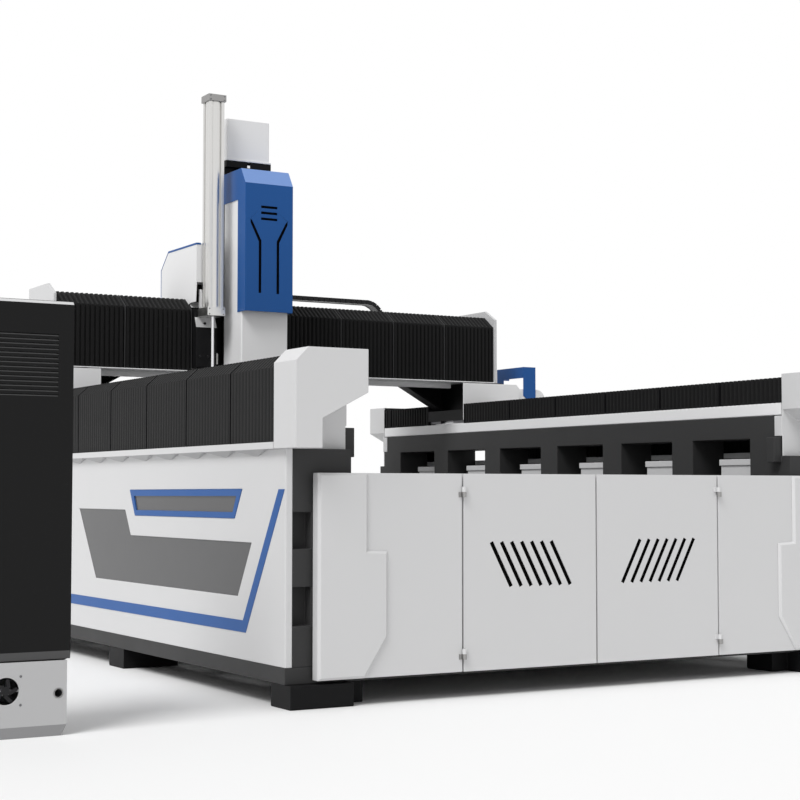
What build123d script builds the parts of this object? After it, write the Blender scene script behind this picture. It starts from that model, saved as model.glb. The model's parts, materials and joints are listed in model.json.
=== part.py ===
from build123d import *
import math
import os

# Five-axis gantry router with its free-standing control cabinet.
# +X runs across the machine to the right, +Y to its rear, +Z up. The origin is on the floor
# under the middle levelling pad, at the middle of the machine's plan. Millimetres.

# Plan and height of the machine
machine_length = 4727.0
front = -machine_length / 2
rear = machine_length / 2
rail_inner = 1395.0
wall_thickness = 310.0
upper_wall_thickness = 245.0
wall_outer = rail_inner + wall_thickness
upper_wall_outer = rail_inner + upper_wall_thickness
foot_height = 110.0
sill_height = 78.0
beam_width = 180.0
cross_beams = 7
pedestal_inset = 190.0
wall_step_z = 1197.0
wall_top_z = 1427.0
rail_beam_height = 70.0
panel_depth = 60.0
cap_depth = 230.0
cap_overhang = 106.0

# Sheet metal and small allowances
sheet = 6.0
soft_gap = 0.4
panel_gap = 8.0
running_gap = 0.3
head_gap = 0.05

# Side casing
skin_thickness = 37.0
pane_recess = 10.0
pane_thickness = 5.0
stripe_thickness = 2.0
ledge_height = 32.0
ledge_outer = wall_outer + 67.0
tooth_drop = 33.0
tooth_pitch = 355.0
tooth_peak_share = 0.64

# Windows in the inside of each side wall
window_count = 6
window_pitch = 692.0
window_width = 500.0
window_low_z = 780.0
window_high_z = 1300.0
first_window_y = 637.0

# Front and rear panels
panel_bottom_z = 127.0
panel_top_z = 1085.0
door_width = 799.0
door_plate = 4.0
door_rim = 45.0
side_panel_reach = 212.0
side_panel_outer = rail_inner + side_panel_reach
hinge_radius = 11.0
hinge_pin_radius = 6.0

# Table
table_side_gap = 105.0
table_half_width = rail_inner - table_side_gap
table_front_y = 190.0
table_rear_gap = 207.0
table_length = machine_length - table_front_y - table_rear_gap
table_thickness = 50.0
table_top_z = 430.0
slot_pitch = 200.0

# Bellows
bellows_width = 360.0
bellows_outer = rail_inner + bellows_width
bellows_bend_z = 1580.0
bellows_top_z = 1640.0
bellows_chamfer_x = bellows_outer - 65.0
bellows_wall = 9.0

# Gantry
gantry_front_y = 3444.0
leg_depth = 492.0
carriage_height = 65.0
foot_plate_z = wall_top_z + rail_beam_height + carriage_height
foot_plate_thickness = 38.0
beam_bottom_z = 1800.0
beam_core_top_z = 2235.0
beam_front_y = 3600.0
beam_rear_y = 3960.0
beam_overhang = 295.0
beam_half_length = rail_inner + beam_overhang
beam_cap_thickness = 20.0
beam_cap_front_y = 3466.0
beam_cap_rear_y = 3972.0
leg_cover_reach = 135.0
leg_cover_outer = bellows_outer + leg_cover_reach
rail_width = 45.0
rail_height = 38.0
carriage_width = 100.0
carriage_length = 150.0
pinion_radius = 78.0
pinion_shaft = 14.0
rack_height = 42.0

# Cross saddle, ram and balance cylinder
saddle_left_x = -735.0
saddle_right_x = -30.0
saddle_front_y = 3510.0
saddle_plate = 40.0
saddle_bottom_z = 1830.0
saddle_top_z = 2262.0
ram_centre_x = -351.0
ram_width = 342.0
ram_front_y = 3168.0
ram_depth = 245.0
ram_bottom_z = 1760.0
ram_top_z = 3120.0
ram_wall = 18.0
rail_shield_reach = 33.0
rail_shield_top_z = 2945.0
column_half_width = 166.0
column_gap = 57.0
column_top_z = 3206.0
screw_radius = 16.0
cylinder_x = -649.5
cylinder_y = 3350.0
barrel_size = 108.0
barrel_low_z = 2224.0
barrel_high_z = 3610.0
bore_radius = 40.0
rod_radius = 11.0

# Five-axis head
head_y = ram_front_y + ram_depth / 2
tilt_z = 1290.0
fork_half_gap = 88.0
fork_arm = 46.0
spindle_half_width = 70.0
trunnion_radius = 30.0

# Control cabinet
cabinet_right_x = -2856.0
cabinet_width = 540.0
cabinet_front_y = -200.0
cabinet_depth = 450.0
cabinet_base_z = 306.0
cabinet_skirt_z = 345.0
cabinet_top_z = 1791.0
louvre_count = 14


def span(low, high):
    """Middle and length of the stretch between two limits."""
    return (low + high) / 2, high - low


def bar(x_span, y_span, z_span, mode=Mode.ADD):
    """Rectangular bar or plate between its limits on each axis, in the piece being built."""
    x_mid, x_len = span(*x_span)
    y_mid, y_len = span(*y_span)
    z_mid, z_len = span(*z_span)
    with Locations((x_mid, y_mid, z_mid)):
        Box(x_len, y_len, z_len, mode=mode)


def outline_across(points, y_low, y_high, mode=Mode.ADD):
    """Prism along Y from an outline given as (x, z) corners."""
    with BuildSketch(Plane.XZ.offset(-y_high)) as profile:
        with BuildLine():
            Polyline(points, close=True)
        make_face()
    extrude(profile.sketch, amount=y_high - y_low, mode=mode)


def outline_along(points, x_low, x_high, mode=Mode.ADD):
    """Prism along X from an outline given as (y, z) corners."""
    with BuildSketch(Plane.YZ.offset(x_low)) as profile:
        with BuildLine():
            Polyline(points, close=True)
        make_face()
    extrude(profile.sketch, amount=x_high - x_low, mode=mode)


def at(y_from_front):
    """Row Y of a place measured back from the machine's front plane."""
    return front + y_from_front


pieces = {}


def keep(piece, name):
    """Name a finished piece and hold it for export."""
    piece.part.label = name
    pieces[name] = piece.part


def keep_group(members, name):
    """Hold pieces that meet face to face as separate solids of one named piece."""
    solids = [solid for member in members for solid in member.part.solids()]
    pieces[name] = Compound(children=solids, label=name)


# Base: sills along both sides, cross beams between them, feet and the middle pad
sill_top_z = foot_height + sill_height
sill_inner = wall_outer - 205.0
sill_outer = wall_outer + skin_thickness
beam_pitch = (machine_length - 2 * panel_depth - beam_width) / (cross_beams - 1)
beam_starts = [panel_depth + i * beam_pitch for i in range(cross_beams)]
with BuildPart() as sills:
    for side in (-1, 1):
        x_limits = sorted((side * sill_inner, side * sill_outer))
        bar(x_limits, (at(panel_depth), rear - panel_depth), (foot_height, sill_top_z))
with BuildPart() as cross_tubes:
    for start in beam_starts:
        bar((-sill_inner, sill_inner), (at(start), at(start + beam_width)), (foot_height, sill_top_z))
with BuildPart() as pedestals:
    for start in beam_starts[1:-1]:
        for x in (pedestal_inset - table_half_width, 0, table_half_width - pedestal_inset):
            y_limits = (at(start + 20), at(start + beam_width - 20))
            bar((x - 60, x + 60), y_limits, (sill_top_z, table_top_z - table_thickness))
keep_group((sills, cross_tubes, pedestals), "base_frame")

foot_width = 330.0
end_foot_length = 207.0
middle_foot_length = 232.0
middle_foot_lead = 184.5
middle_foot_start = beam_starts[cross_beams // 2] - middle_foot_lead
foot_spots = [
    (0.0, end_foot_length),
    (middle_foot_start, middle_foot_start + middle_foot_length),
    (machine_length - end_foot_length, machine_length),
]
with BuildPart() as levelling_feet:
    for low, high in foot_spots:
        bar((-sill_outer, -sill_outer + foot_width), (at(low), at(high)), (0, foot_height))
    pad_outer = -sill_outer + foot_width
    bar((pad_outer, pad_outer + 114), (at(120), at(327)), (0, foot_height))
    top_edges = levelling_feet.edges().filter_by(Axis.X).group_by(Axis.Z)[0]
    chamfer(top_edges, 6)
    mirror(about=Plane.YZ)
    bar((-90, 90), (-90, 90), (0, foot_height))
keep(levelling_feet, "levelling_feet")

# Side walls: welded box walls with windows towards the table and a notched front end
wall_front_y = at(panel_depth)
wall_rear_y = rear - panel_depth
upper_front_y = at(cap_depth - cap_overhang + sheet)
upper_rear_y = -upper_front_y
stop_width = 55.0
stop_depth = 60.0
stop_z = (1162.0, 1302.0)
wall_outline = [
    (rail_inner, sill_top_z),
    (wall_outer, sill_top_z),
    (wall_outer, wall_step_z),
    (rail_inner, wall_step_z),
]
with BuildPart() as side_frames:
    outline_across(wall_outline, wall_front_y, wall_rear_y)
    bar((rail_inner, upper_wall_outer), (upper_front_y, upper_rear_y), (wall_step_z, wall_top_z))
    for i in range(window_count):
        middle = at(first_window_y + i * window_pitch)
        y_limits = (middle - window_width / 2, middle + window_width / 2)
        bar((rail_inner, wall_outer), y_limits, (window_low_z, window_high_z), Mode.SUBTRACT)
    for low, high in ((377, 557), (732, 903)):
        notch_y = (wall_front_y, wall_front_y + 62)
        bar((side_panel_outer, wall_outer), notch_y, (low, high), Mode.SUBTRACT)
    for z in (260, 960):
        bar((rail_inner + 20, side_panel_outer - 30), (front + door_plate, wall_front_y), (z, z + 40))
        bar((rail_inner + 20, side_panel_outer - 30), (wall_rear_y, rear - door_plate), (z, z + 40))
    bar((rail_inner - stop_width, rail_inner), (upper_front_y, upper_front_y + stop_depth), stop_z)
    mirror(about=Plane.YZ)
keep(side_frames, "side_frames")

# Lidded boxes seen inside the windows
box_length = 300.0
box_top_z = 1150.0
box_lid = 36.0
with BuildPart() as wall_boxes:
    for i in range(window_count):
        near = at(first_window_y + i * window_pitch - window_width / 2) + 10
        box_x = (rail_inner + 55, upper_wall_outer)
        bar(box_x, (near, near + box_length), (window_low_z, box_top_z))
        lid_y = (near - 8, near + box_length + 8)
        bar((box_x[0] - 8, box_x[1]), lid_y, (box_top_z, box_top_z + box_lid))
    mirror(about=Plane.YZ)
keep(wall_boxes, "wall_boxes")

# Side skins with an upper slot window and a large stepped window
skin_front_y = wall_front_y
skin_rear_y = wall_rear_y
upper_window = [(2014, 1007), (530, 1010), (615, 867), (1935, 865)]
big_window = [(2855, 895), (2088, 895), (2000, 753), (422, 753), (577, 490), (2560, 490)]


def to_row(points):
    """Row (y, z) corners of an outline measured back from the front plane."""
    return [(at(y), z) for y, z in points]


with BuildPart() as side_skins:
    bar((wall_outer, sill_outer), (skin_front_y, skin_rear_y), (sill_top_z, wall_step_z))
    for window in (upper_window, big_window):
        outline_along(to_row(window), sill_outer - pane_recess, sill_outer, Mode.SUBTRACT)
    front_edges = side_skins.edges().filter_by(Axis.Z).group_by(Axis.Y)[0]
    fillet(front_edges.sort_by(Axis.X)[-1], 8)
    mirror(about=Plane.YZ)
keep(side_skins, "side_skins")

pane_outer = sill_outer - pane_recess + pane_thickness
upper_pane = [(1954, 973), (594, 976), (636, 897), (1919, 895)]
with BuildPart() as window_panes:
    for window in (upper_pane, big_window):
        outline_along(to_row(window), sill_outer - pane_recess, pane_outer)
    mirror(about=Plane.YZ)
keep(window_panes, "window_panes")

stripe_outline = [
    (4480, 374), (512, 377), (129, 1009), (66, 1009), (480, 320), (4480, 317),
]
with BuildPart() as trim_stripes:
    outline_along(to_row(stripe_outline), sill_outer, sill_outer + stripe_thickness)
    frame_low = sill_outer - pane_recess
    outline_along(to_row(upper_window), frame_low, sill_outer + stripe_thickness)
    outline_along(to_row(upper_pane), frame_low, sill_outer + stripe_thickness, Mode.SUBTRACT)
    mirror(about=Plane.YZ)
keep(trim_stripes, "trim_stripes")

# Ledges over the skins, each with a saw-tooth apron folded back under it
ledge_top_z = wall_step_z + ledge_height
tooth_count = int((upper_rear_y - upper_front_y) / tooth_pitch)
apron_start = upper_front_y + ((upper_rear_y - upper_front_y) - tooth_count * tooth_pitch) / 2
saw_points = []
for i in range(tooth_count):
    tooth_y = apron_start + i * tooth_pitch
    saw_points.append((tooth_y, wall_step_z))
    saw_points.append((tooth_y + (1 - tooth_peak_share) * tooth_pitch, wall_step_z - tooth_drop))
saw_points.append((apron_start + tooth_count * tooth_pitch, wall_step_z))
saw_points.append((apron_start + tooth_count * tooth_pitch, wall_step_z + 5))
saw_points.append((apron_start, wall_step_z + 5))
with BuildPart() as apron:
    outline_across(
        [(sill_outer, wall_step_z), (ledge_outer, wall_step_z), (sill_outer, wall_step_z - tooth_drop)],
        upper_front_y,
        upper_rear_y,
    )
    outline_along(saw_points, sill_outer, ledge_outer, Mode.INTERSECT)
with BuildPart() as side_ledges:
    bar((upper_wall_outer, ledge_outer), (upper_front_y, upper_rear_y), (wall_step_z, ledge_top_z))
    add(apron.part)
    mirror(about=Plane.YZ)
keep(side_ledges, "side_ledges")

# End caps: folded shells on a stem, open towards the bellows
cap_outer = ledge_outer + 1
cap_top_z = 1660.0
cap_slope_top_z = 1458.0
cap_slope_low_z = 1334.0
cap_stem_inner = upper_wall_outer - 5
cap_flange_reach = 54.0
cap_flange_z = (1309.0, 1423.0)
cap_outline = [
    (cap_outer, wall_step_z),
    (cap_outer, 1597),
    (cap_outer - 62, cap_top_z),
    (rail_inner, cap_top_z),
    (rail_inner, cap_slope_top_z),
    (cap_stem_inner, cap_slope_low_z),
    (cap_stem_inner, wall_step_z),
]
cap_back_outline = [
    (rail_inner, wall_step_z),
    (rail_inner, cap_slope_top_z + 6),
    (cap_stem_inner, cap_slope_low_z + 6),
    (cap_stem_inner, wall_step_z),
]
cap_front_y = front - cap_overhang
cap_rear_y = cap_front_y + cap_depth


def end_cap(y_closed, y_open):
    """Shell of one end cap, closed at one end and open at the other, with its mirror image."""
    low, high = sorted((y_closed, y_open))
    inner_low = low + sheet if y_closed < y_open else low
    inner_high = high if y_closed < y_open else high - sheet
    with BuildPart() as cap:
        outline_across(cap_outline, low, high)
        with BuildSketch(Plane.XZ.offset(-inner_high)):
            with BuildLine():
                Polyline(cap_outline, close=True)
            make_face()
            offset(amount=-sheet, kind=Kind.INTERSECTION, mode=Mode.REPLACE)
        extrude(amount=inner_high - inner_low, mode=Mode.SUBTRACT)
        inwards = 1 if y_open > y_closed else -1
        outline_across(cap_back_outline, *sorted((y_open, y_open - inwards * sheet)))
        flange_y = sorted((y_open - inwards * sheet, y_open + inwards * cap_flange_reach))
        bar((rail_inner - sheet, rail_inner), flange_y, cap_flange_z)
        mirror(about=Plane.YZ)
    return cap


with BuildPart() as end_caps:
    add(end_cap(cap_front_y, cap_rear_y).part)
    add(end_cap(-cap_front_y, -cap_rear_y).part)
keep(end_caps, "end_caps")

# Machined rail beams on the walls, guide rails and racks
rail_beam_top_z = wall_top_z + rail_beam_height
rail_beam_ends = (cap_rear_y + sheet, -cap_rear_y - sheet)
with BuildPart() as rail_beams:
    bar((rail_inner, upper_wall_outer), rail_beam_ends, (wall_top_z, rail_beam_top_z))
    inner_edges = rail_beams.edges().filter_by(Axis.Y).group_by(Axis.X)[0]
    chamfer(inner_edges, 4)
    mirror(about=Plane.YZ)
keep(rail_beams, "rail_beams")

y_rail_xs = (rail_inner + 60, rail_inner + 197)
rail_ends = (rail_beam_ends[0] + 40, rail_beam_ends[1] - 40)
rail_profile = [
    (-rail_width / 2, 0), (rail_width / 2, 0), (rail_width / 2, rail_height * 0.42),
    (rail_width * 0.34, rail_height * 0.6), (rail_width / 2, rail_height * 0.8),
    (rail_width / 2, rail_height), (-rail_width / 2, rail_height),
    (-rail_width / 2, rail_height * 0.8), (-rail_width * 0.34, rail_height * 0.6),
    (-rail_width / 2, rail_height * 0.42),
]
rack_x = sum(y_rail_xs) / 2
rack_half_width = 15.0
with BuildPart() as y_rails:
    for rail_x in y_rail_xs:
        outline_across(
            [(rail_x + x, rail_beam_top_z + z) for x, z in rail_profile], rail_ends[0], rail_ends[1]
        )
    rack_x_limits = (rack_x - rack_half_width, rack_x + rack_half_width)
    bar(rack_x_limits, rail_ends, (rail_beam_top_z, rail_beam_top_z + rack_height))
    mirror(about=Plane.YZ)
keep(y_rails, "y_rails")

# Slotted table on pedestals that stand on the cross beams
table_rear_y = at(table_front_y + table_length)
slot_mouth = 18.0
slot_foot = 32.0
slot_profile = [
    (-slot_mouth / 2, 0), (-slot_mouth / 2, -16), (-slot_foot / 2, -16), (-slot_foot / 2, -30),
    (slot_foot / 2, -30), (slot_foot / 2, -16), (slot_mouth / 2, -16), (slot_mouth / 2, 0),
]
slot_reach = int(table_half_width / slot_pitch)
with BuildPart() as work_table:
    table_z = (table_top_z - table_thickness, table_top_z)
    bar((-table_half_width, table_half_width), (at(table_front_y), table_rear_y), table_z)
    for i in range(-slot_reach, slot_reach + 1):
        slot = [(i * slot_pitch + x, table_top_z + z) for x, z in slot_profile]
        outline_across(slot, at(table_front_y), table_rear_y, Mode.SUBTRACT)
keep(work_table, "work_table")

# Fixed front panels, each a tray folded back at its rim, and the raised corner plates
side_panel_inner = door_width + 2 * panel_gap - 1


def tray(x_low, x_high, y_face, towards_rear):
    """Folded tray panel: a face plate with its rim turned back by the panel's depth."""
    depth = door_rim if towards_rear else -door_rim
    y_back = y_face + depth
    low, high = sorted((y_face, y_back))
    plate_low, plate_high = sorted((y_face, y_face + math.copysign(door_plate, depth)))
    bar((x_low, x_high), (low, high), (panel_bottom_z, panel_top_z))
    hollow_y = (plate_high, high) if towards_rear else (low, plate_low)
    bar(
        (x_low + door_plate, x_high - door_plate),
        hollow_y,
        (panel_bottom_z + door_plate, panel_top_z - door_plate),
        Mode.SUBTRACT,
    )


with BuildPart() as front_panels:
    tray(side_panel_inner, side_panel_outer, front, True)
    mirror(about=Plane.YZ)
keep(front_panels, "front_panels")

corner_raise = 16.0
corner_outline = [
    (side_panel_outer, panel_top_z), (side_panel_outer - 264, panel_top_z),
    (side_panel_outer - 264, 722), (side_panel_outer - 371, 716),
    (side_panel_outer - 371, 315), (side_panel_outer - 248, panel_bottom_z),
    (side_panel_outer, panel_bottom_z),
]
with BuildPart() as corner_plates:
    outline_across(corner_outline, front - corner_raise, front)
    face_edges = corner_plates.faces().sort_by(Axis.Y)[0].edges()
    chamfer(face_edges, corner_raise - 4)
    mirror(about=Plane.YZ)
keep(corner_plates, "corner_plates")

with BuildPart() as rear_panel:
    tray(-side_panel_outer, side_panel_outer, rear, False)
keep(rear_panel, "rear_panel")

# Doors: folded trays with slanted vent slots, hung at their outer edges
door_inner_x = panel_gap / 2 + 1
door_outer_x = door_inner_x + door_width
hinge_x = (door_outer_x + side_panel_inner) / 2
hinge_y = front - hinge_radius - 1
vent_columns = 7
vent_length = 250.0
vent_width = 22.0
vent_pitch = 60.0
vent_lean = 62.0
vent_middle_z = 640.0
hinge_top_z = 1022.0
knuckle_height = 25.5
leaf_reach = 24.0
hinge_levels = (hinge_top_z - 52, panel_bottom_z + 60)


def hinge_half(side, towards, with_pin):
    """Knuckles and leaves on one side of a door's hinge line: the lower, with its pin, or the upper."""
    with BuildPart() as half:
        for level in hinge_levels:
            z_low = level if with_pin else level + knuckle_height + running_gap
            with BuildSketch(Plane.XY.offset(z_low)):
                with Locations((side * hinge_x, hinge_y)):
                    Circle(hinge_radius)
                x_far = side * hinge_x + towards * leaf_reach
                x_mid, x_len = span(*sorted((side * hinge_x, x_far)))
                y_mid, y_len = span(hinge_y + hinge_radius - 5, front)
                with Locations((x_mid, y_mid)):
                    Rectangle(x_len, y_len)
                if not with_pin:
                    with Locations((side * hinge_x, hinge_y)):
                        Circle(hinge_pin_radius + head_gap, mode=Mode.SUBTRACT)
            extrude(amount=knuckle_height - running_gap)
            if with_pin:
                with BuildSketch(Plane.XY.offset(level)):
                    with Locations((side * hinge_x, hinge_y)):
                        Circle(hinge_pin_radius)
                extrude(amount=2 * knuckle_height)
    return half


def door_leaf(side):
    """One door leaf with its row of leaning vent slots and its hinge knuckles."""
    middle = side * (door_inner_x + door_outer_x) / 2
    with BuildPart() as leaf:
        x_low, x_high = sorted((side * door_inner_x, side * door_outer_x))
        tray(x_low, x_high, front, True)
        with BuildSketch(Plane.XZ.offset(-front)):
            with Locations((middle, vent_middle_z)):
                with GridLocations(vent_pitch, 1, vent_columns, 1):
                    Rectangle(vent_length, vent_width, rotation=side * vent_lean)
        extrude(amount=-door_plate, mode=Mode.SUBTRACT)
        add(hinge_half(side, -side, False).part)
    return leaf


door_left = door_leaf(-1)
keep(door_left, "door_left")
door_right = door_leaf(1)
keep(door_right, "door_right")


with BuildPart() as door_hinges:
    for side in (-1, 1):
        add(hinge_half(side, side, True).part)
keep(door_hinges, "door_hinges")

# Bellows over the side rails: plain channels with the real outer form
channel_outer = [
    (rail_inner, rail_beam_top_z + soft_gap), (rail_inner, bellows_top_z),
    (bellows_chamfer_x, bellows_top_z), (bellows_outer, bellows_bend_z),
    (bellows_outer, ledge_top_z + soft_gap),
    (bellows_outer - bellows_wall, ledge_top_z + soft_gap),
    (bellows_outer - bellows_wall, bellows_bend_z - 4),
    (bellows_chamfer_x - 4, bellows_top_z - bellows_wall),
    (rail_inner + bellows_wall, bellows_top_z - bellows_wall),
    (rail_inner + bellows_wall, rail_beam_top_z + soft_gap),
]


def side_bellows(side, y_low, y_high):
    """Channel of one side bellows between its two ends."""
    points = [(side * x, z) for x, z in channel_outer]
    with BuildPart() as channel:
        outline_across(points, y_low + soft_gap, y_high - soft_gap)
    return channel


leg_cover_plate = 8.0
bellows_front_end = at(gantry_front_y) - leg_cover_plate
bellows_rear_start = at(gantry_front_y + leg_depth)
bellows_front_left = side_bellows(-1, cap_rear_y, bellows_front_end)
keep(bellows_front_left, "bellows_front_left")
bellows_front_right = side_bellows(1, cap_rear_y, bellows_front_end)
keep(bellows_front_right, "bellows_front_right")
bellows_rear_left = side_bellows(-1, bellows_rear_start, -cap_rear_y)
keep(bellows_rear_left, "bellows_rear_left")
bellows_rear_right = side_bellows(1, bellows_rear_start, -cap_rear_y)
keep(bellows_rear_right, "bellows_rear_right")

# Gantry beam: box section with a front lip under the bellows
leg_front_y = at(gantry_front_y)
leg_rear_y = leg_front_y + leg_depth
beam_span = (-beam_half_length, beam_half_length)
beam_wall = 16.0
beam_flange_drop = 38.0
beam_flange_depth = 40.0
gusset_foot_x = rail_inner + 50
column_inner = rail_inner + 85
column_outer = bellows_outer - 5
with BuildPart() as gantry_beam:
    bar(beam_span, (at(beam_front_y), at(beam_rear_y)), (beam_bottom_z, beam_core_top_z))
    hollow_y = (at(beam_front_y) + beam_wall, at(beam_rear_y) - beam_wall)
    hollow_z = (beam_bottom_z + beam_wall, beam_core_top_z - beam_wall)
    bar(beam_span, hollow_y, hollow_z, Mode.SUBTRACT)
    bar(beam_span, (at(3468), at(beam_front_y)), (beam_bottom_z, beam_bottom_z + 8))
    flange_x = gusset_foot_x - 55
    flange_y = (at(beam_front_y), at(beam_front_y) + beam_flange_depth)
    bar((-flange_x, flange_x), flange_y, (beam_bottom_z - beam_flange_drop, beam_bottom_z))
keep(gantry_beam, "gantry_beam")

x_rail_zs = (1880.0, 2180.0)
x_rail_height = 26.0
x_rack_y = at(3890)
x_rack_height = 22.0
x_pinion_radius = 40.0
x_pinion_shaft = 12.0
x_pinion_x = -665.0
x_pinion_y = x_rack_y - x_pinion_radius - running_gap
with BuildPart() as x_rails:
    for rail_z in x_rail_zs:
        points = [
            (at(beam_front_y) - z * x_rail_height / rail_height, rail_z + x) for x, z in rail_profile
        ]
        outline_along(points, -beam_half_length + 60, beam_half_length - 60)
    bar(
        (-beam_half_length + 60, beam_half_length - 60),
        (x_rack_y, x_rack_y + 30),
        (beam_core_top_z, beam_core_top_z + x_rack_height),
    )
keep(x_rails, "x_rails")

cap_chamfer_y = 131.0
cap_chamfer_z = 75.0
beam_cap_top_z = 2350.0
beam_cap_outline = [
    (at(beam_cap_front_y), beam_bottom_z),
    (at(beam_cap_front_y), beam_cap_top_z - cap_chamfer_z),
    (at(beam_cap_front_y) + cap_chamfer_y, beam_cap_top_z),
    (at(beam_cap_rear_y), beam_cap_top_z),
    (at(beam_cap_rear_y), beam_bottom_z),
]
with BuildPart() as beam_caps:
    outline_along(beam_cap_outline, beam_half_length, beam_half_length + beam_cap_thickness)
    mirror(about=Plane.YZ)
keep(beam_caps, "beam_caps")

# Legs: foot plate, folded column and the braced gusset that reaches under the beam
foot_plate_top_z = foot_plate_z + foot_plate_thickness
gusset_rear_y = leg_rear_y - 30
gusset_top_x = rail_inner - 320
pinion_y = leg_front_y + 246.0
pinion_z = rail_beam_top_z + rack_height + pinion_radius + running_gap
gusset_outline = [
    (gusset_top_x, beam_bottom_z), (gusset_foot_x, foot_plate_top_z),
    (column_inner + 20, foot_plate_top_z), (column_inner + 20, beam_bottom_z),
]
with BuildPart() as gantry_legs:
    bar((rail_inner + 8, column_outer), (leg_front_y, leg_rear_y), (foot_plate_z, foot_plate_top_z))
    bar((rail_inner + 2, rail_inner + 12), (leg_front_y, leg_rear_y), (1522, foot_plate_top_z))
    bar((column_inner, column_outer), (leg_front_y, leg_rear_y), (foot_plate_top_z, beam_bottom_z))
    bar(
        (column_inner + 16, column_outer - 16),
        (leg_front_y + 16, leg_rear_y - 16),
        (foot_plate_top_z, beam_bottom_z - 16),
        Mode.SUBTRACT,
    )
    outline_across(gusset_outline, gusset_rear_y - 16, gusset_rear_y)
    outline_across(
        [
            (gusset_top_x, beam_bottom_z), (gusset_foot_x, foot_plate_top_z),
            (gusset_foot_x + 26, foot_plate_top_z), (gusset_top_x + 26, beam_bottom_z),
        ],
        gusset_rear_y - 110,
        gusset_rear_y,
    )
    bar(
        (rack_x - 22, rack_x + 22),
        (pinion_y - pinion_radius - 8, pinion_y + pinion_radius + 8),
        (foot_plate_z, foot_plate_top_z),
        Mode.SUBTRACT,
    )
    with BuildSketch(Plane.YZ.offset(column_outer - 20)):
        with Locations((pinion_y, pinion_z)):
            Circle(pinion_shaft + running_gap)
    extrude(amount=24, mode=Mode.SUBTRACT)
    mirror(about=Plane.YZ)
keep(gantry_legs, "gantry_legs")

skirt_z = 1522.0
over_rails_z = rail_beam_top_z + rack_height + 4
cover_outline = [
    (rail_inner, skirt_z), (rail_inner, beam_bottom_z - 6), (leg_cover_outer - 25, beam_bottom_z - 6),
    (leg_cover_outer, beam_bottom_z - 32), (leg_cover_outer, skirt_z), (bellows_outer + 5, skirt_z),
    (bellows_outer + 5, over_rails_z), (rail_inner + 29, over_rails_z), (rail_inner + 29, skirt_z),
]
with BuildPart() as leg_covers:
    outline_across(cover_outline, leg_front_y - leg_cover_plate, leg_front_y)
    bar(
        (leg_cover_outer - sheet, leg_cover_outer), (leg_front_y, leg_rear_y), (skirt_z, beam_bottom_z - 32)
    )
    mirror(about=Plane.YZ)
keep(leg_covers, "leg_covers")

carriage_low_z = rail_beam_top_z + 9
carriage_ys = (leg_front_y + 8, leg_rear_y - 8 - carriage_length)
with BuildPart() as y_carriages:
    for rail_x in y_rail_xs:
        for y_low in carriage_ys:
            x_limits = (rail_x - carriage_width / 2 + 6, rail_x + carriage_width / 2 - 6)
            y_limits = (y_low, y_low + carriage_length)
            bar(x_limits, y_limits, (carriage_low_z, foot_plate_z))
            groove_x = (rail_x - rail_width / 2 - 0.5, rail_x + rail_width / 2 + 0.5)
            groove_z = (carriage_low_z, rail_beam_top_z + rail_height + 0.5)
            bar(groove_x, y_limits, groove_z, Mode.SUBTRACT)
    mirror(about=Plane.YZ)
keep(y_carriages, "y_carriages")

# Lengthwise drives: geared motors outside the legs, one shaft line for both pinions
drive_hood_outer = leg_cover_outer + 250
drive_hood_front_y = leg_front_y + 12
drive_hood_rear_y = drive_hood_front_y + 356
drive_hood_z = (1470.0, 1765.0)
drive_hood_round = 80.0
drive_radius = 56.0
with BuildPart() as y_drives:
    with BuildSketch(Plane.YZ.offset(column_outer)):
        with Locations((pinion_y, pinion_z)):
            Circle(drive_radius)
    extrude(amount=leg_cover_outer - sheet - column_outer)
    bar(
        (leg_cover_outer, drive_hood_outer),
        (drive_hood_front_y, drive_hood_rear_y),
        drive_hood_z,
    )
    shoulder = y_drives.edges().filter_by(Axis.Y).sort_by(lambda edge: edge.center().X + edge.center().Z)[-1]
    fillet(shoulder, drive_hood_round)
    mirror(about=Plane.YZ)
keep(y_drives, "y_drives")

pinion_half_width = 14.0
with BuildPart() as y_pinions:
    with BuildSketch(Plane.YZ.offset(rack_x - pinion_half_width)):
        with Locations((pinion_y, pinion_z)):
            Circle(pinion_radius)
    extrude(amount=2 * pinion_half_width)
    with BuildSketch(Plane.YZ.offset(rack_x + pinion_half_width)):
        with Locations((pinion_y, pinion_z)):
            Circle(pinion_shaft)
    extrude(amount=column_outer - rack_x - pinion_half_width - running_gap)
    mirror(about=Plane.YZ)
keep(y_pinions, "y_pinions")

# Bent sheet arch that carries the supply chain on the right: its front leg reaches down over the drive
arch_low_x = leg_cover_outer + 49
arch_high_x = arch_low_x + 110
arch_front_y = leg_front_y + 6
arch_rear_y = arch_front_y + 358
drive_top_z = drive_hood_z[1]
arch_top_z = 1932.0
arch_band_z = 1850.0
arch_foot_z = 1691.0
arch_post = 86.0
with BuildPart() as chain_arch:
    outline_along(
        [
            (arch_front_y, drive_top_z), (arch_front_y, arch_top_z), (arch_rear_y, arch_top_z),
            (arch_rear_y, drive_top_z), (arch_rear_y - arch_post, drive_top_z),
            (arch_rear_y - arch_post, arch_band_z), (arch_front_y + sheet, arch_band_z),
            (arch_front_y + sheet, drive_top_z),
        ],
        arch_low_x,
        arch_low_x + sheet,
    )
    outline_across(
        [
            (arch_low_x, arch_top_z), (arch_high_x, arch_top_z), (arch_high_x, arch_foot_z),
            (arch_low_x + 31, arch_foot_z), (arch_low_x, arch_foot_z + 24),
        ],
        arch_front_y,
        arch_front_y + sheet,
    )
    bar((arch_low_x, arch_high_x), (arch_front_y, arch_rear_y), (arch_top_z - sheet, arch_top_z))
    bar((arch_low_x, arch_high_x), (arch_rear_y - sheet, arch_rear_y), (arch_band_z, arch_top_z))
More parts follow.
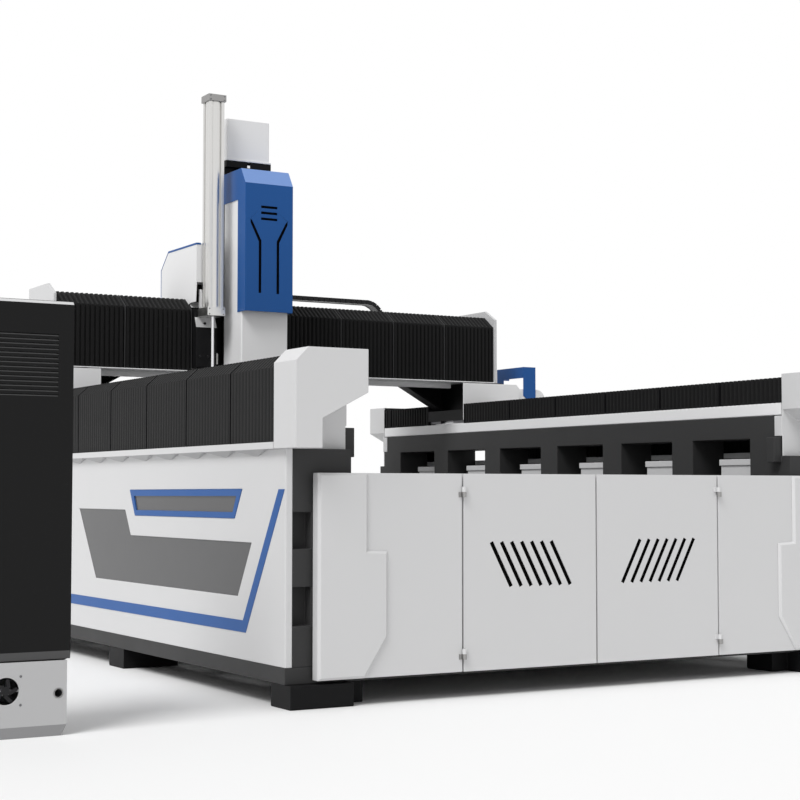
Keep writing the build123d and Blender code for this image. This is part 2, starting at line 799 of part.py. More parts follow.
keep(chain_arch, "chain_arch")

# Beam bellows either side of the saddle
beam_bellows_front = 3482.0
beam_bellows_bend_z = 2218.0
beam_bellows_top_z = 2302.0
beam_bellows_outer = [
    (at(beam_bellows_front), beam_bottom_z + 8 + soft_gap),
    (at(beam_bellows_front), beam_bellows_bend_z),
    (at(beam_bellows_front) + 118, beam_bellows_top_z),
    (at(beam_rear_y), beam_bellows_top_z),
    (at(beam_rear_y), beam_bellows_top_z - bellows_wall),
    (at(beam_bellows_front) + 122, beam_bellows_top_z - bellows_wall),
    (at(beam_bellows_front) + bellows_wall, beam_bellows_bend_z - 4),
    (at(beam_bellows_front) + bellows_wall, beam_bottom_z + 8 + soft_gap),
]
with BuildPart() as beam_bellows_left:
    bellows_end = saddle_left_x - sheet - soft_gap
    outline_along(beam_bellows_outer, -beam_half_length + soft_gap, bellows_end)
keep(beam_bellows_left, "beam_bellows_left")
with BuildPart() as beam_bellows_right:
    outline_along(beam_bellows_outer, saddle_right_x + soft_gap, beam_half_length - soft_gap)
keep(beam_bellows_right, "beam_bellows_right")

# Trough behind the beam for the chain
trough_front_y = at(3976)
trough_rear_y = at(4092)
trough_z = 2118.0
with BuildPart() as chain_trough:
    outline_along(
        [
            (at(beam_rear_y), trough_z), (trough_rear_y, trough_z), (trough_rear_y, trough_z + 48),
            (trough_rear_y - 4, trough_z + 48), (trough_rear_y - 4, trough_z + 4),
            (trough_front_y, trough_z + 4), (trough_front_y, trough_z + 48),
            (trough_front_y - 4, trough_z + 48), (trough_front_y - 4, trough_z + 4),
            (at(beam_rear_y), trough_z + 4),
        ],
        -beam_half_length + 30,
        beam_half_length - 20,
    )
keep(chain_trough, "chain_trough")

# Saddle: plate in front of the beam and a bridge over it, with the wing for the cylinder
wing_right_x = -585.0
wing_front_y = 3425.0
wing_bend_z = 2098.0
wing_shoulder_z = 2166.0
wing_top_z = 2224.0
wing_slope = 26.0
bridge_top_z = 2312.0
hood_right_x = -600.0
hood_base_z = 2400.0
plinth_y = (at(3560), at(3985))
saddle_outline = [
    (at(saddle_front_y), saddle_bottom_z), (at(saddle_front_y), bridge_top_z - 74),
    (at(saddle_front_y) + 90, bridge_top_z), (at(3990), bridge_top_z),
    (at(3990), saddle_top_z), (at(saddle_front_y + saddle_plate), saddle_top_z),
    (at(saddle_front_y + saddle_plate), saddle_bottom_z),
]
with BuildPart() as saddle:
    outline_along(saddle_outline, saddle_left_x, saddle_right_x)
    wing_y = (at(wing_front_y), at(saddle_front_y))
    bar((saddle_left_x, wing_right_x), wing_y, (saddle_bottom_z, wing_bend_z))
    outline_along(
        [
            (at(wing_front_y), wing_bend_z), (at(wing_front_y) + wing_slope, wing_shoulder_z),
            (at(wing_front_y) + wing_slope, wing_top_z), (at(saddle_front_y), wing_top_z),
            (at(saddle_front_y), wing_bend_z),
        ],
        saddle_left_x,
        wing_right_x,
    )
    bar((saddle_left_x, hood_right_x), plinth_y, (bridge_top_z - 40, hood_base_z))
    with BuildSketch(Plane.XY.offset(saddle_top_z)):
        with Locations((x_pinion_x, x_pinion_y)):
            Circle(x_pinion_shaft + running_gap)
    extrude(amount=bridge_top_z - saddle_top_z, mode=Mode.SUBTRACT)
keep(saddle, "saddle")

ram_rear_y = ram_front_y + ram_depth
x_carriage_xs = (saddle_left_x + 20, saddle_right_x - 20 - carriage_length)
z_rail_xs = (ram_centre_x - 120, ram_centre_x + 120)
z_carriage_zs = (2040.0, 2290.0)
z_rail_height = 26.0
z_carriage_half = 42.0
column_front_y = ram_front_y + ram_depth + column_gap
screw_y = at(column_front_y) - screw_radius - 12
with BuildPart() as saddle_carriages:
    for x_low in x_carriage_xs:
        for rail_z in x_rail_zs:
            y_limits = (at(saddle_front_y + saddle_plate), at(beam_front_y) - 8)
            z_limits = (rail_z - 44, rail_z + 44)
            bar((x_low, x_low + carriage_length), y_limits, z_limits)
            groove_y = (at(beam_front_y) - x_rail_height - 0.5, at(beam_front_y))
            groove_z = (rail_z - rail_width / 2 - 0.5, rail_z + rail_width / 2 + 0.5)
            bar((x_low, x_low + carriage_length), groove_y, groove_z, Mode.SUBTRACT)
    for rail_x in z_rail_xs:
        for z_low in z_carriage_zs:
            x_limits = (rail_x - z_carriage_half, rail_x + z_carriage_half)
            z_limits = (z_low, z_low + carriage_length)
            bar(x_limits, (at(ram_rear_y) + 8, at(column_front_y)), z_limits)
            groove_x = (rail_x - rail_width / 2 - 0.5, rail_x + rail_width / 2 + 0.5)
            groove_y = (at(ram_rear_y), at(ram_rear_y) + z_rail_height + 0.5)
            bar(groove_x, groove_y, z_limits, Mode.SUBTRACT)
keep(saddle_carriages, "saddle_carriages")

# Z column: a ribbed plate on the saddle that carries the screw and the motor plate
column_low_z = beam_bottom_z + 14
rib_depth = 40.0
column_left_x = ram_centre_x - column_half_width
column_right_x = ram_centre_x + column_half_width
screw_low_z = 1980.0
screw_block_front_y = screw_y - screw_radius - 8
with BuildPart() as z_column:
    bar(
        (column_left_x, column_right_x),
        (at(column_front_y), at(saddle_front_y)),
        (column_low_z, column_top_z),
    )
    for x_low in (column_left_x, ram_centre_x - 12, column_right_x - 24):
        outline_along(
            [
                (at(saddle_front_y), bridge_top_z + 20), (at(saddle_front_y) + rib_depth, 2420),
                (at(saddle_front_y) + rib_depth, column_top_z), (at(saddle_front_y), column_top_z),
            ],
            x_low,
            x_low + 24,
        )
    bar(
        (ram_centre_x - 40, ram_centre_x + 40),
        (screw_block_front_y, at(column_front_y)),
        (screw_low_z, screw_low_z + 46),
    )
    with BuildSketch(Plane.XY.offset(screw_low_z)):
        with Locations((ram_centre_x, screw_y)):
            Circle(screw_radius + head_gap)
    extrude(amount=46, mode=Mode.SUBTRACT)
keep(z_column, "z_column")

# Ball screw between the ram and its column, coupled to the motor through the motor plate
with BuildPart() as z_screw:
    with BuildSketch(Plane.XY.offset(screw_low_z + 2)):
        with Locations((ram_centre_x, screw_y)):
            Circle(screw_radius)
    extrude(amount=column_top_z + 20 - screw_low_z - 2)
keep(z_screw, "z_screw")

# Pinion that runs on the beam's rack, on a short shaft through the bridge
with BuildPart() as x_pinion:
    with BuildSketch(Plane.XY.offset(beam_core_top_z + 1)):
        with Locations((x_pinion_x, x_pinion_y)):
            Circle(x_pinion_radius)
    extrude(amount=x_rack_height)
    with BuildSketch(Plane.XY.offset(beam_core_top_z + 1 + x_rack_height)):
        with Locations((x_pinion_x, x_pinion_y)):
            Circle(x_pinion_shaft)
    extrude(amount=bridge_top_z - beam_core_top_z - x_rack_height - 2)
keep(x_pinion, "x_pinion")

# White hood on the saddle's bridge, with a side plate that reaches down past the bellows
hood_top_z = 2665.0
hood_shoulder_z = 2544.0
hood_left_x = saddle_left_x - sheet
hood_outline = [
    (at(3412), hood_base_z), (at(3412), hood_top_z), (at(3900), hood_top_z),
    (at(4032), hood_shoulder_z), (at(4032), hood_base_z),
]
hood_side_outline = hood_outline[:-1] + [(at(4032), saddle_top_z), (at(3530), saddle_top_z)]
with BuildPart() as carriage_hood:
    outline_along(hood_outline, hood_left_x, hood_right_x)
    long_edges = carriage_hood.edges().filter_by(Axis.X).group_by(Axis.Z)[-1]
    fillet(long_edges, 10)
    outline_along(hood_side_outline, hood_left_x, saddle_left_x)
keep(carriage_hood, "carriage_hood")

# Balance cylinder: extruded barrel, round between its four corner ribs, held by two heads
half_barrel = barrel_size / 2
corner_rib = 22.0
cylinder_row_y = at(cylinder_y)
with BuildPart() as cylinder_barrel:
    with BuildSketch(Plane.XY.offset(barrel_low_z)):
        with Locations((cylinder_x, cylinder_row_y)):
            Circle(half_barrel)
            with GridLocations(barrel_size - corner_rib, barrel_size - corner_rib, 2, 2):
                Rectangle(corner_rib, corner_rib)
            Circle(bore_radius, mode=Mode.SUBTRACT)
    extrude(amount=barrel_high_z - barrel_low_z)
keep(cylinder_barrel, "cylinder_barrel")

head_half = 64.0
with BuildPart() as cylinder_heads:
    bar(
        (cylinder_x - head_half, cylinder_x + head_half),
        (cylinder_row_y - head_half, at(wing_front_y) + wing_slope),
        (wing_shoulder_z, barrel_low_z),
    )
    with Locations((cylinder_x, cylinder_row_y, barrel_low_z)):
        Hole(rod_radius + head_gap)
    with BuildSketch(Plane.XY.offset(barrel_high_z)):
        with Locations((cylinder_x, cylinder_row_y)):
            Rectangle(2 * head_half, 2 * head_half)
    extrude(amount=46)
keep(cylinder_heads, "cylinder_heads")

# Ram: square hollow column whose sides run on behind it to shield the guide rails
ram_left_x = ram_centre_x - ram_width / 2
with BuildPart() as ram:
    with BuildSketch(Plane.XY.offset(ram_bottom_z)):
        with Locations((ram_centre_x, at((ram_front_y + ram_rear_y) / 2))):
            RectangleRounded(ram_width, ram_depth, 10)
            Rectangle(ram_width - 2 * ram_wall, ram_depth - 2 * ram_wall, mode=Mode.SUBTRACT)
    extrude(amount=ram_top_z - ram_bottom_z)
    shield_y = (at(ram_rear_y) - ram_wall, at(ram_rear_y) + rail_shield_reach)
    shield_z = (ram_bottom_z, rail_shield_top_z)
    bar((ram_left_x, ram_left_x + sheet), shield_y, shield_z)
    bar((ram_left_x + ram_width - sheet, ram_left_x + ram_width), shield_y, shield_z)
keep(ram, "ram")

z_rail_top_z = 2950.0
nut_low_z = 2570.0
with BuildPart() as z_rails:
    for rail_x in z_rail_xs:
        with BuildSketch(Plane.XY.offset(ram_bottom_z + 20)):
            with BuildLine():
                Polyline(
                    [
                        (rail_x + x, at(ram_rear_y) + z * z_rail_height / rail_height)
                        for x, z in rail_profile
                    ],
                    close=True,
                )
            make_face()
        extrude(amount=z_rail_top_z - ram_bottom_z - 20)
    with BuildSketch(Plane.XY.offset(nut_low_z)):
        with Locations((ram_centre_x, at(ram_rear_y) + 27)):
            Rectangle(84, 54)
        with Locations((ram_centre_x, screw_y)):
            Circle(screw_radius + head_gap, mode=Mode.SUBTRACT)
    extrude(amount=90)
keep(z_rails, "z_rails")

# Blue ram cover: folded front with a sloped top, and side bands round the ram's head
cover_front_y = 3105.0
cover_side_y = 3225.0
cover_sheet = 5.0
cover_low_z = 2190.0
cover_face_top_z = 3045.0
cover_top_z = 3150.0
band_low_z = 2945.0
band_rear_y = 3584.0
cover_half = ram_width / 2 + cover_sheet
cover_section = [
    (at(cover_front_y), cover_low_z), (at(cover_front_y), cover_face_top_z),
    (at(cover_front_y) + 68, cover_top_z), (at(ram_rear_y) - 1, cover_top_z),
    (at(ram_rear_y) - 1, band_low_z), (at(cover_side_y), band_low_z), (at(cover_side_y), cover_low_z),
]
cover_hollow = [
    (at(cover_front_y) + cover_sheet, cover_low_z),
    (at(cover_front_y) + cover_sheet, cover_face_top_z - 2),
    (at(cover_front_y) + 68 + 3, cover_top_z - cover_sheet),
    (at(ram_rear_y) - 1, cover_top_z - cover_sheet), (at(ram_rear_y) - 1, cover_low_z),
]
slot_half_pitch = 66.0
slot_width = 20.0
slot_low_z = 2313.0
slot_bend_z = 2656.0
slot_tip_z = 2806.0
louvre_middle_z = 2850.0
with BuildPart() as ram_cover:
    outline_along(cover_section, ram_centre_x - cover_half, ram_centre_x + cover_half)
    outline_along(
        cover_hollow,
        ram_centre_x - cover_half + cover_sheet,
        ram_centre_x + cover_half - cover_sheet,
        Mode.SUBTRACT,
    )
    for x_low in (ram_centre_x - cover_half, ram_centre_x + cover_half - cover_sheet):
        band_y = (at(cover_side_y), at(band_rear_y))
        bar((x_low, x_low + cover_sheet), band_y, (band_low_z, cover_top_z))
    with BuildSketch(Plane.XZ.offset(-at(cover_front_y))):
        for lean in (-1, 1):
            near = ram_centre_x + lean * (slot_half_pitch - slot_width / 2)
            far = ram_centre_x + lean * (slot_half_pitch + slot_width / 2)
            tip = ram_centre_x + lean * 137
            with BuildLine():
                Polyline(
                    [
                        (near, slot_low_z), (near, slot_bend_z + 8), (tip - lean * 15, slot_tip_z - 16),
                        (tip, slot_tip_z), (tip, slot_tip_z - 26), (far, slot_bend_z), (far, slot_low_z),
                    ],
                    close=True,
                )
            make_face()
        with Locations((ram_centre_x, louvre_middle_z)):
            with GridLocations(1, 40, 1, 3):
                Rectangle(120, 16)
    extrude(amount=-cover_sheet, mode=Mode.SUBTRACT)
keep(ram_cover, "ram_cover")

# Motor plate on the column's head with the screw's bearing block under it, and the motor's white
# cover with its flanged foot
motor_plate_half = 168.0
motor_plate_front_y = 3430.0
motor_plate_depth = 210.0
bearing_half_width = 60.0
bearing_height = 60.0
motor_plate_top_z = 3250.0
cover_foot = 12.0
motor_top_z = 3538.0
with BuildPart() as motor_plate:
    bar(
        (ram_centre_x - motor_plate_half, ram_centre_x + motor_plate_half),
        (at(motor_plate_front_y), at(motor_plate_front_y + motor_plate_depth)),
        (column_top_z, motor_plate_top_z),
    )
    with BuildSketch(Plane.XY.offset(column_top_z)):
        with Locations((ram_centre_x, screw_y)):
            Circle(screw_radius + head_gap)
    extrude(amount=motor_plate_top_z - column_top_z, mode=Mode.SUBTRACT)
    bearing_low_z = column_top_z - bearing_height
    bar(
        (ram_centre_x - bearing_half_width, ram_centre_x + bearing_half_width),
        (screw_block_front_y, at(column_front_y)),
        (bearing_low_z, column_top_z),
    )
    with BuildSketch(Plane.XY.offset(bearing_low_z)):
        with Locations((ram_centre_x, screw_y)):
            Circle(screw_radius + head_gap)
    extrude(amount=bearing_height, mode=Mode.SUBTRACT)
keep(motor_plate, "motor_plate")
with BuildPart() as motor_cover:
    bar(
        (ram_centre_x - motor_plate_half, ram_centre_x + motor_plate_half),
        (at(motor_plate_front_y - 2), at(motor_plate_front_y + motor_plate_depth + 4)),
        (motor_plate_top_z, motor_plate_top_z + cover_foot),
    )
    bar(
        (ram_centre_x - motor_plate_half + 6, ram_centre_x + motor_plate_half - 10),
        (at(motor_plate_front_y + 6), at(motor_plate_front_y + motor_plate_depth - 10)),
        (motor_plate_top_z + cover_foot, motor_top_z),
    )
    tall_edges = motor_cover.edges().filter_by(Axis.Z).sort_by(SortBy.LENGTH)[-4:]
    fillet(tall_edges, 8)
keep(motor_cover, "motor_cover")

# Balance rod with its piston, and the bracket under the ram's left side
piston_z = 2820.0
bracket_z = 1770.0
with BuildPart() as balance_rod:
    with BuildSketch(Plane.XY.offset(bracket_z + 24)):
        with Locations((cylinder_x, cylinder_row_y)):
            Circle(rod_radius)
    extrude(amount=piston_z - bracket_z - 24)
    with BuildSketch(Plane.XY.offset(piston_z)):
        with Locations((cylinder_x, cylinder_row_y)):
            Circle(bore_radius - 0.1)
    extrude(amount=30)
    bracket_y = (cylinder_row_y - 40, cylinder_row_y + 40)
    bar((cylinder_x - 40, ram_left_x), bracket_y, (bracket_z, bracket_z + 24))
keep(balance_rod, "balance_rod")

# Five-axis head: flange on the ram, swivelling fork, tilting spindle
flange_low_z = ram_bottom_z - 40
flange_radius = 118.0
head_row_y = at(head_y)
head_plane = Plane(origin=(ram_centre_x, head_row_y, 0))
with BuildPart() as head_flange:
    with BuildSketch(head_plane.offset(flange_low_z)):
        Circle(flange_radius)
    extrude(amount=ram_bottom_z - flange_low_z)
keep(head_flange, "head_flange")

fork_top_z = flange_low_z - running_gap
fork_bridge_z = 1530.0
arm_outer = fork_half_gap + fork_arm
arm_radius = 82.0
fork_outline = [
    (-arm_outer, tilt_z), (-arm_outer, fork_bridge_z + 40), (-110, fork_top_z), (110, fork_top_z),
    (arm_outer, fork_bridge_z + 40), (arm_outer, tilt_z),
]
with BuildPart() as swivel_fork:
    outline_across(
        [(ram_centre_x + x, z) for x, z in fork_outline], head_row_y - 110, head_row_y + 110
    )
    bar(
        (ram_centre_x - fork_half_gap, ram_centre_x + fork_half_gap),
        (head_row_y - 120, head_row_y + 120),
        (tilt_z - 10, fork_bridge_z),
        Mode.SUBTRACT,
    )
    with BuildSketch(Plane.YZ.offset(ram_centre_x - arm_outer - 5)):
        with BuildLine():
            Polyline(
                [
                    (head_row_y - 150, tilt_z), (head_row_y - arm_radius, tilt_z),
                    (head_row_y - arm_radius, fork_bridge_z - 40), (head_row_y - 111, fork_bridge_z + 30),
                    (head_row_y - 111, fork_top_z + 1), (head_row_y - 150, fork_top_z + 1),
                ],
                close=True,
            )
        make_face()
        mirror(about=Plane.XZ.offset(-head_row_y))
    extrude(amount=2 * arm_outer + 10, mode=Mode.SUBTRACT)
    for x_low in (-arm_outer, fork_half_gap):
        with BuildSketch(Plane.YZ.offset(ram_centre_x + x_low)):
            with Locations((head_row_y, tilt_z)):
                Circle(arm_radius)
                Circle(trunnion_radius + head_gap, mode=Mode.SUBTRACT)
        extrude(amount=fork_arm)
        with BuildSketch(Plane.YZ.offset(ram_centre_x + x_low)):
            with Locations((head_row_y, tilt_z)):
                Circle(trunnion_radius + head_gap)
        extrude(amount=fork_arm, mode=Mode.SUBTRACT)
keep(swivel_fork, "swivel_fork")

spindle_top_z = tilt_z + 165
spindle_nose_z = tilt_z - 215
housing_low_z = spindle_nose_z + 62
boss_radius = 58.0
bore_depth = 60.0
tool_radius = 22.0
tool_gap = 1.0
revolve_plane = Plane(origin=(ram_centre_x, head_row_y, 0), x_dir=(1, 0, 0), z_dir=(0, -1, 0))
spindle_axis = Axis((ram_centre_x, head_row_y, 0), (0, 0, 1))
with BuildPart() as spindle_body:
    with BuildSketch(head_plane.offset(housing_low_z)):
        RectangleRounded(2 * spindle_half_width, 2 * spindle_half_width, 14)
    extrude(amount=spindle_top_z - housing_low_z)
    with BuildSketch(revolve_plane):
        with BuildLine():
            Polyline(
                [
                    (0, spindle_nose_z), (36, spindle_nose_z), (48, spindle_nose_z + 24),
                    (boss_radius, housing_low_z), (0, housing_low_z),
                ],
                close=True,
            )
        make_face()
    revolve(axis=spindle_axis)
    for side in (-1, 1):
        for radius, reach in ((trunnion_radius, arm_outer - 6), (boss_radius, fork_half_gap - 1)):
            x_low, x_high = sorted((side * (spindle_half_width - 2), side * reach))
            with BuildSketch(Plane.YZ.offset(ram_centre_x + x_low)):
                with Locations((head_row_y, tilt_z)):
                    Circle(radius)
            extrude(amount=x_high - x_low)
    with BuildSketch(head_plane.offset(spindle_nose_z)):
        Circle(tool_radius + head_gap)
    extrude(amount=bore_depth, mode=Mode.SUBTRACT)
keep(spindle_body, "spindle_body")

with BuildPart() as tool_holder:
    with BuildSketch(revolve_plane):
        with BuildLine():
            Polyline(
                [
                    (0, spindle_nose_z - 120), (6, spindle_nose_z - 120), (6, spindle_nose_z - 52),
                    (24, spindle_nose_z - 36), (24, spindle_nose_z - 15), (31, spindle_nose_z - 15),
                    (31, spindle_nose_z - tool_gap), (tool_radius, spindle_nose_z - tool_gap),
                    (tool_radius, spindle_nose_z + bore_depth - 2), (0, spindle_nose_z + bore_depth - 2),
                ],
                close=True,
            )
        make_face()
    revolve(axis=spindle_axis)
keep(tool_holder, "tool_holder")

# Chain over the beam: upper run, and the bend with the run that lies in the trough
chain_width = 96.0
chain_front_y = at(3982)
chain_top_z = 2428.0
chain_thickness = 32.0
chain_bend_x = 888.0
chain_low_z = trough_z + 4 + soft_gap
chain_bend_radius = (chain_top_z - chain_low_z) / 2
with BuildPart() as chain_run:
    bar(
        (hood_right_x + soft_gap, chain_bend_x - soft_gap),
        (chain_front_y, chain_front_y + chain_width),
        (chain_top_z - chain_thickness, chain_top_z),
    )
keep(chain_run, "chain_run")
with BuildPart() as chain_bend:
    with BuildSketch(Plane.XZ.offset(-(chain_front_y + chain_width))):
        with BuildLine():
            Line((chain_bend_x, chain_top_z), (chain_bend_x, chain_top_z - chain_thickness))
            ThreePointArc(
                (chain_bend_x, chain_top_z - chain_thickness),
                (chain_bend_x + chain_bend_radius - chain_thickness, chain_top_z - chain_bend_radius),
                (chain_bend_x, chain_low_z + chain_thickness),
            )
            Polyline(
                (chain_bend_x, chain_low_z + chain_thickness),
                (-350, chain_low_z + chain_thickness),
                (-350, chain_low_z),
                (chain_bend_x, chain_low_z),
            )
            ThreePointArc(
                (chain_bend_x, chain_low_z),
                (chain_bend_x + chain_bend_radius, chain_top_z - chain_bend_radius),
                (chain_bend_x, chain_top_z),
            )
        make_face()
    extrude(amount=chain_width)
keep(chain_bend, "chain_bend")

# Control cabinet on its own plinth, beside the machine
cabinet_left_x = cabinet_right_x - cabinet_width
cabinet_row_front = at(cabinet_front_y)
cabinet_row_rear = cabinet_row_front + cabinet_depth
cabinet_wall = 16.0
door_sheet = 18.0
with BuildPart() as cabinet_body:
    body_front = cabinet_row_front + door_sheet + running_gap
    bar((cabinet_left_x, cabinet_right_x), (body_front, cabinet_row_rear), (cabinet_base_z, cabinet_top_z))
    bar(
        (cabinet_left_x + cabinet_wall, cabinet_right_x - cabinet_wall),
        (body_front, cabinet_row_rear - cabinet_wall),
        (cabinet_base_z + cabinet_wall, cabinet_top_z - cabinet_wall),
        Mode.SUBTRACT,
    )
keep(cabinet_body, "cabinet_body")

# Hinges on the cabinet's left edge: barrels with a pin, and the leaves they hang from
cabinet_hinge_x = cabinet_left_x - 8
cabinet_hinge_y = cabinet_row_front + door_sheet / 2
barrel_radius = 8.0
barrel_pin_radius = 4.0
barrel_height = 45.0


def cabinet_hinge(with_pin, y_leaf):
    """One half of the cabinet's hinges: the lower barrels with their pins, or the upper ones."""
    with BuildPart() as half:
        for level in (cabinet_skirt_z + 60, cabinet_top_z - 150):
            with BuildSketch(Plane.XY.offset(level if with_pin else level + barrel_height + running_gap)):
                with Locations((cabinet_hinge_x, cabinet_hinge_y)):
                    Circle(barrel_radius)
                y_mid, y_len = span(*sorted((cabinet_hinge_y, y_leaf)))
                with Locations((cabinet_left_x - 2.5, y_mid)):
                    Rectangle(5, y_len)
                if not with_pin:
                    with Locations((cabinet_hinge_x, cabinet_hinge_y)):
                        Circle(barrel_pin_radius + head_gap, mode=Mode.SUBTRACT)
            extrude(amount=barrel_height - running_gap)
            if with_pin:
                with BuildSketch(Plane.XY.offset(level)):
                    with Locations((cabinet_hinge_x, cabinet_hinge_y)):
                        Circle(barrel_pin_radius)
                extrude(amount=2 * barrel_height)
    return half


cabinet_middle_x = (cabinet_left_x + cabinet_right_x) / 2
louvre_low_z = 1395.0
louvre_high_z = 1645.0
louvre_half_width = cabinet_width / 2 - 65
with BuildPart() as cabinet_door:
    door_low_z = cabinet_base_z + 6
    outline_along(
        [
            (cabinet_row_front + door_sheet, door_low_z), (cabinet_row_front + 6, door_low_z),
            (cabinet_row_front, cabinet_skirt_z), (cabinet_row_front, cabinet_top_z - 4),
            (cabinet_row_front + door_sheet, cabinet_top_z - 4),
        ],
        cabinet_left_x,
        cabinet_right_x,
    )
    louvre_pitch = (louvre_high_z - louvre_low_z) / (louvre_count - 1)
    with BuildSketch(Plane.XZ.offset(-cabinet_row_front)):
        with Locations((cabinet_middle_x, (louvre_low_z + louvre_high_z) / 2)):
            with GridLocations(1, louvre_pitch, 1, louvre_count):
                Rectangle(2 * louvre_half_width, louvre_pitch * 0.45)
    extrude(amount=-8, mode=Mode.SUBTRACT)
    add(cabinet_hinge(False, cabinet_row_front + 1).part)
keep(cabinet_door, "cabinet_door")

fan_z = 192.0
fan_pin_radius = 5.0
fan_radius = 55.0
fan_frame = 130.0
gland_radius = 17.0
gland_z = 173.0
with BuildPart() as cabinet_base:
    base_x = (cabinet_left_x + 14, cabinet_right_x - 14)
    bar(base_x, (cabinet_row_front, cabinet_row_rear - 10), (0, cabinet_base_z))
    bar(
        (base_x[0] + 8, base_x[1] - 8),
        (cabinet_row_front + 8, cabinet_row_rear - 18),
        (0, cabinet_base_z - 8),
        Mode.SUBTRACT,
    )
    with Locations(Location((cabinet_middle_x, cabinet_row_front, fan_z), (90, 0, 0))):
        Hole(fan_radius, depth=8)
    with Locations(Location((cabinet_right_x - 50, cabinet_row_front, gland_z), (90, 0, 0))):
        Hole(gland_radius, depth=8)
    with BuildSketch(Plane.XZ.offset(-(cabinet_row_front + 8 + 24))):
        with Locations((cabinet_middle_x, fan_z)):
            Rectangle(fan_frame, fan_frame)
            Rectangle(fan_frame - 12, fan_frame - 12, mode=Mode.SUBTRACT)
            Rectangle(fan_frame, 8)
            Rectangle(32, 32)
            Circle(fan_pin_radius + head_gap, mode=Mode.SUBTRACT)
    extrude(amount=24)
keep(cabinet_base, "cabinet_base")

blade_count = 5
with BuildPart() as fan_rotor:
    with BuildSketch(Plane.XZ.offset(-(cabinet_row_front + 7))):
        with Locations((cabinet_middle_x, fan_z)):
            Circle(18)
            with PolarLocations(32, blade_count):
                Rectangle(36, 15, rotation=28)
    extrude(amount=5)
    with BuildSketch(Plane.XZ.offset(-(cabinet_row_front + 30))):
        with Locations((cabinet_middle_x, fan_z)):
            Circle(fan_pin_radius)
    extrude(amount=24)
keep(fan_rotor, "fan_rotor")

cabinet_hinges = cabinet_hinge(True, cabinet_row_front + 90)
keep(cabinet_hinges, "cabinet_hinges")

os.makedirs("parts", exist_ok=True)
for name, piece in pieces.items():
    export_step(piece, f"parts/{name}.step")
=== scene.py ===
"""Looks of the five-axis gantry router: finishes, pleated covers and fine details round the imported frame."""

import json
import logging
import math
from collections.abc import Callable
from dataclasses import dataclass, field
from enum import Enum

import bmesh
import bpy
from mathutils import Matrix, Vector

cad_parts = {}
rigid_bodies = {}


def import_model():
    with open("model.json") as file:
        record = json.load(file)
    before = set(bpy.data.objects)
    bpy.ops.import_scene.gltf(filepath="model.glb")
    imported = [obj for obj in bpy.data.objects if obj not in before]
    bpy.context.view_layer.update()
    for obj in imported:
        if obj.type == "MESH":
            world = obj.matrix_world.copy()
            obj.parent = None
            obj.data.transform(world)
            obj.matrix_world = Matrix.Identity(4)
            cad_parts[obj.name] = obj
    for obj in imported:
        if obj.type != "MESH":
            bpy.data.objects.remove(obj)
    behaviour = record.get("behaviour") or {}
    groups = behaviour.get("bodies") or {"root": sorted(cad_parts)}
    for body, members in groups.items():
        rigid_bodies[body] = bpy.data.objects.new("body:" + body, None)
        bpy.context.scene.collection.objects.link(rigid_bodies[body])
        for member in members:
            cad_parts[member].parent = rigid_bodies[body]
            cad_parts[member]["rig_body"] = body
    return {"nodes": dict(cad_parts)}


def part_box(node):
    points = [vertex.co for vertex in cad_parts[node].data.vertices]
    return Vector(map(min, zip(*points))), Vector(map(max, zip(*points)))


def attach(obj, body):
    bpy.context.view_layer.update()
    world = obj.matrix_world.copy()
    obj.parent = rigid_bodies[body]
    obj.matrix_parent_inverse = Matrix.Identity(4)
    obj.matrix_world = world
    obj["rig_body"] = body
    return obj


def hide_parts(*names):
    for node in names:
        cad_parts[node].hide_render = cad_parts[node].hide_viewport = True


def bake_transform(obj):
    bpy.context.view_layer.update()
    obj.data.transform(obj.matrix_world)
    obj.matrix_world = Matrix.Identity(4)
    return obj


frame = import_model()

LOG = logging.getLogger("router_scene")
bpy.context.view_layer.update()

# Row Y of the machine's front plane, in metres.
FRONT_PLANE = -2.3635
# Sockets of a Mix node that mixes colours.
MIX_A, MIX_B, MIX_RESULT = 6, 7, 2
# Vertices nearer than this, in metres, are one vertex.
SAME_SPOT = 1e-5
# Vertices lower than this, in metres, stand on the floor.
ON_FLOOR = 0.001
# Faces that turn by less than this, in degrees, are one flat face.
FLAT_ANGLE = 0.4
# Edges that turn by more than this, in degrees, are rounded.
SHARP_ANGLE = 32.0
# A face looks to the front where its normal's Y is below this.
FRONTAL = -0.5

Colour = tuple[float, float, float]
Place = tuple[float, float, float]
Point = tuple[float, float]
Outline = list[Point] | tuple[Point, ...]
Mesh = bmesh.types.BMesh
Ring = list[bmesh.types.BMVert]
Tree = bpy.types.NodeTree
Node = bpy.types.Node
Piece = bpy.types.Object


class Axis(Enum):
    """Row axis that a run or a metal's lines point along, or that a slab is thick along."""

    X = 0
    Y = 1
    Z = 2

    def order(self, u: float, v: float, along: float) -> list[float]:
        """Coordinates in the row's order, from two across this axis and one along it."""
        return [*(u, v)[: self.value], along, *(u, v)[self.value :]]


class Edge(Enum):
    """Rounding of a piece's edges: its width in millimetres and how many faces it has."""

    DRAWN = (0.8, 2)
    CUT = (1.0, 2)
    CRISP = (1.5, 2)
    SHEET = (2.0, 2)
    PLATE = (3.0, 2)
    FOLDED = (3.0, 3)
    CAST = (4.0, 3)
    WIDE = (14.0, 4)


def row(x: float, y: float, z: float) -> Vector:
    """Place in the row frame.

    Args:
        x: millimetres to the right of the machine's middle plane.
        y: millimetres behind the machine's front plane.
        z: millimetres above the floor.

    Returns:
        The same place in metres.
    """
    return Vector((x / 1000, FRONT_PLANE + y / 1000, z / 1000))


def row_y(y: float) -> float:
    """Row Y, in millimetres, of a distance behind the machine's front plane."""
    return FRONT_PLANE * 1000 + y


# Shader node groups


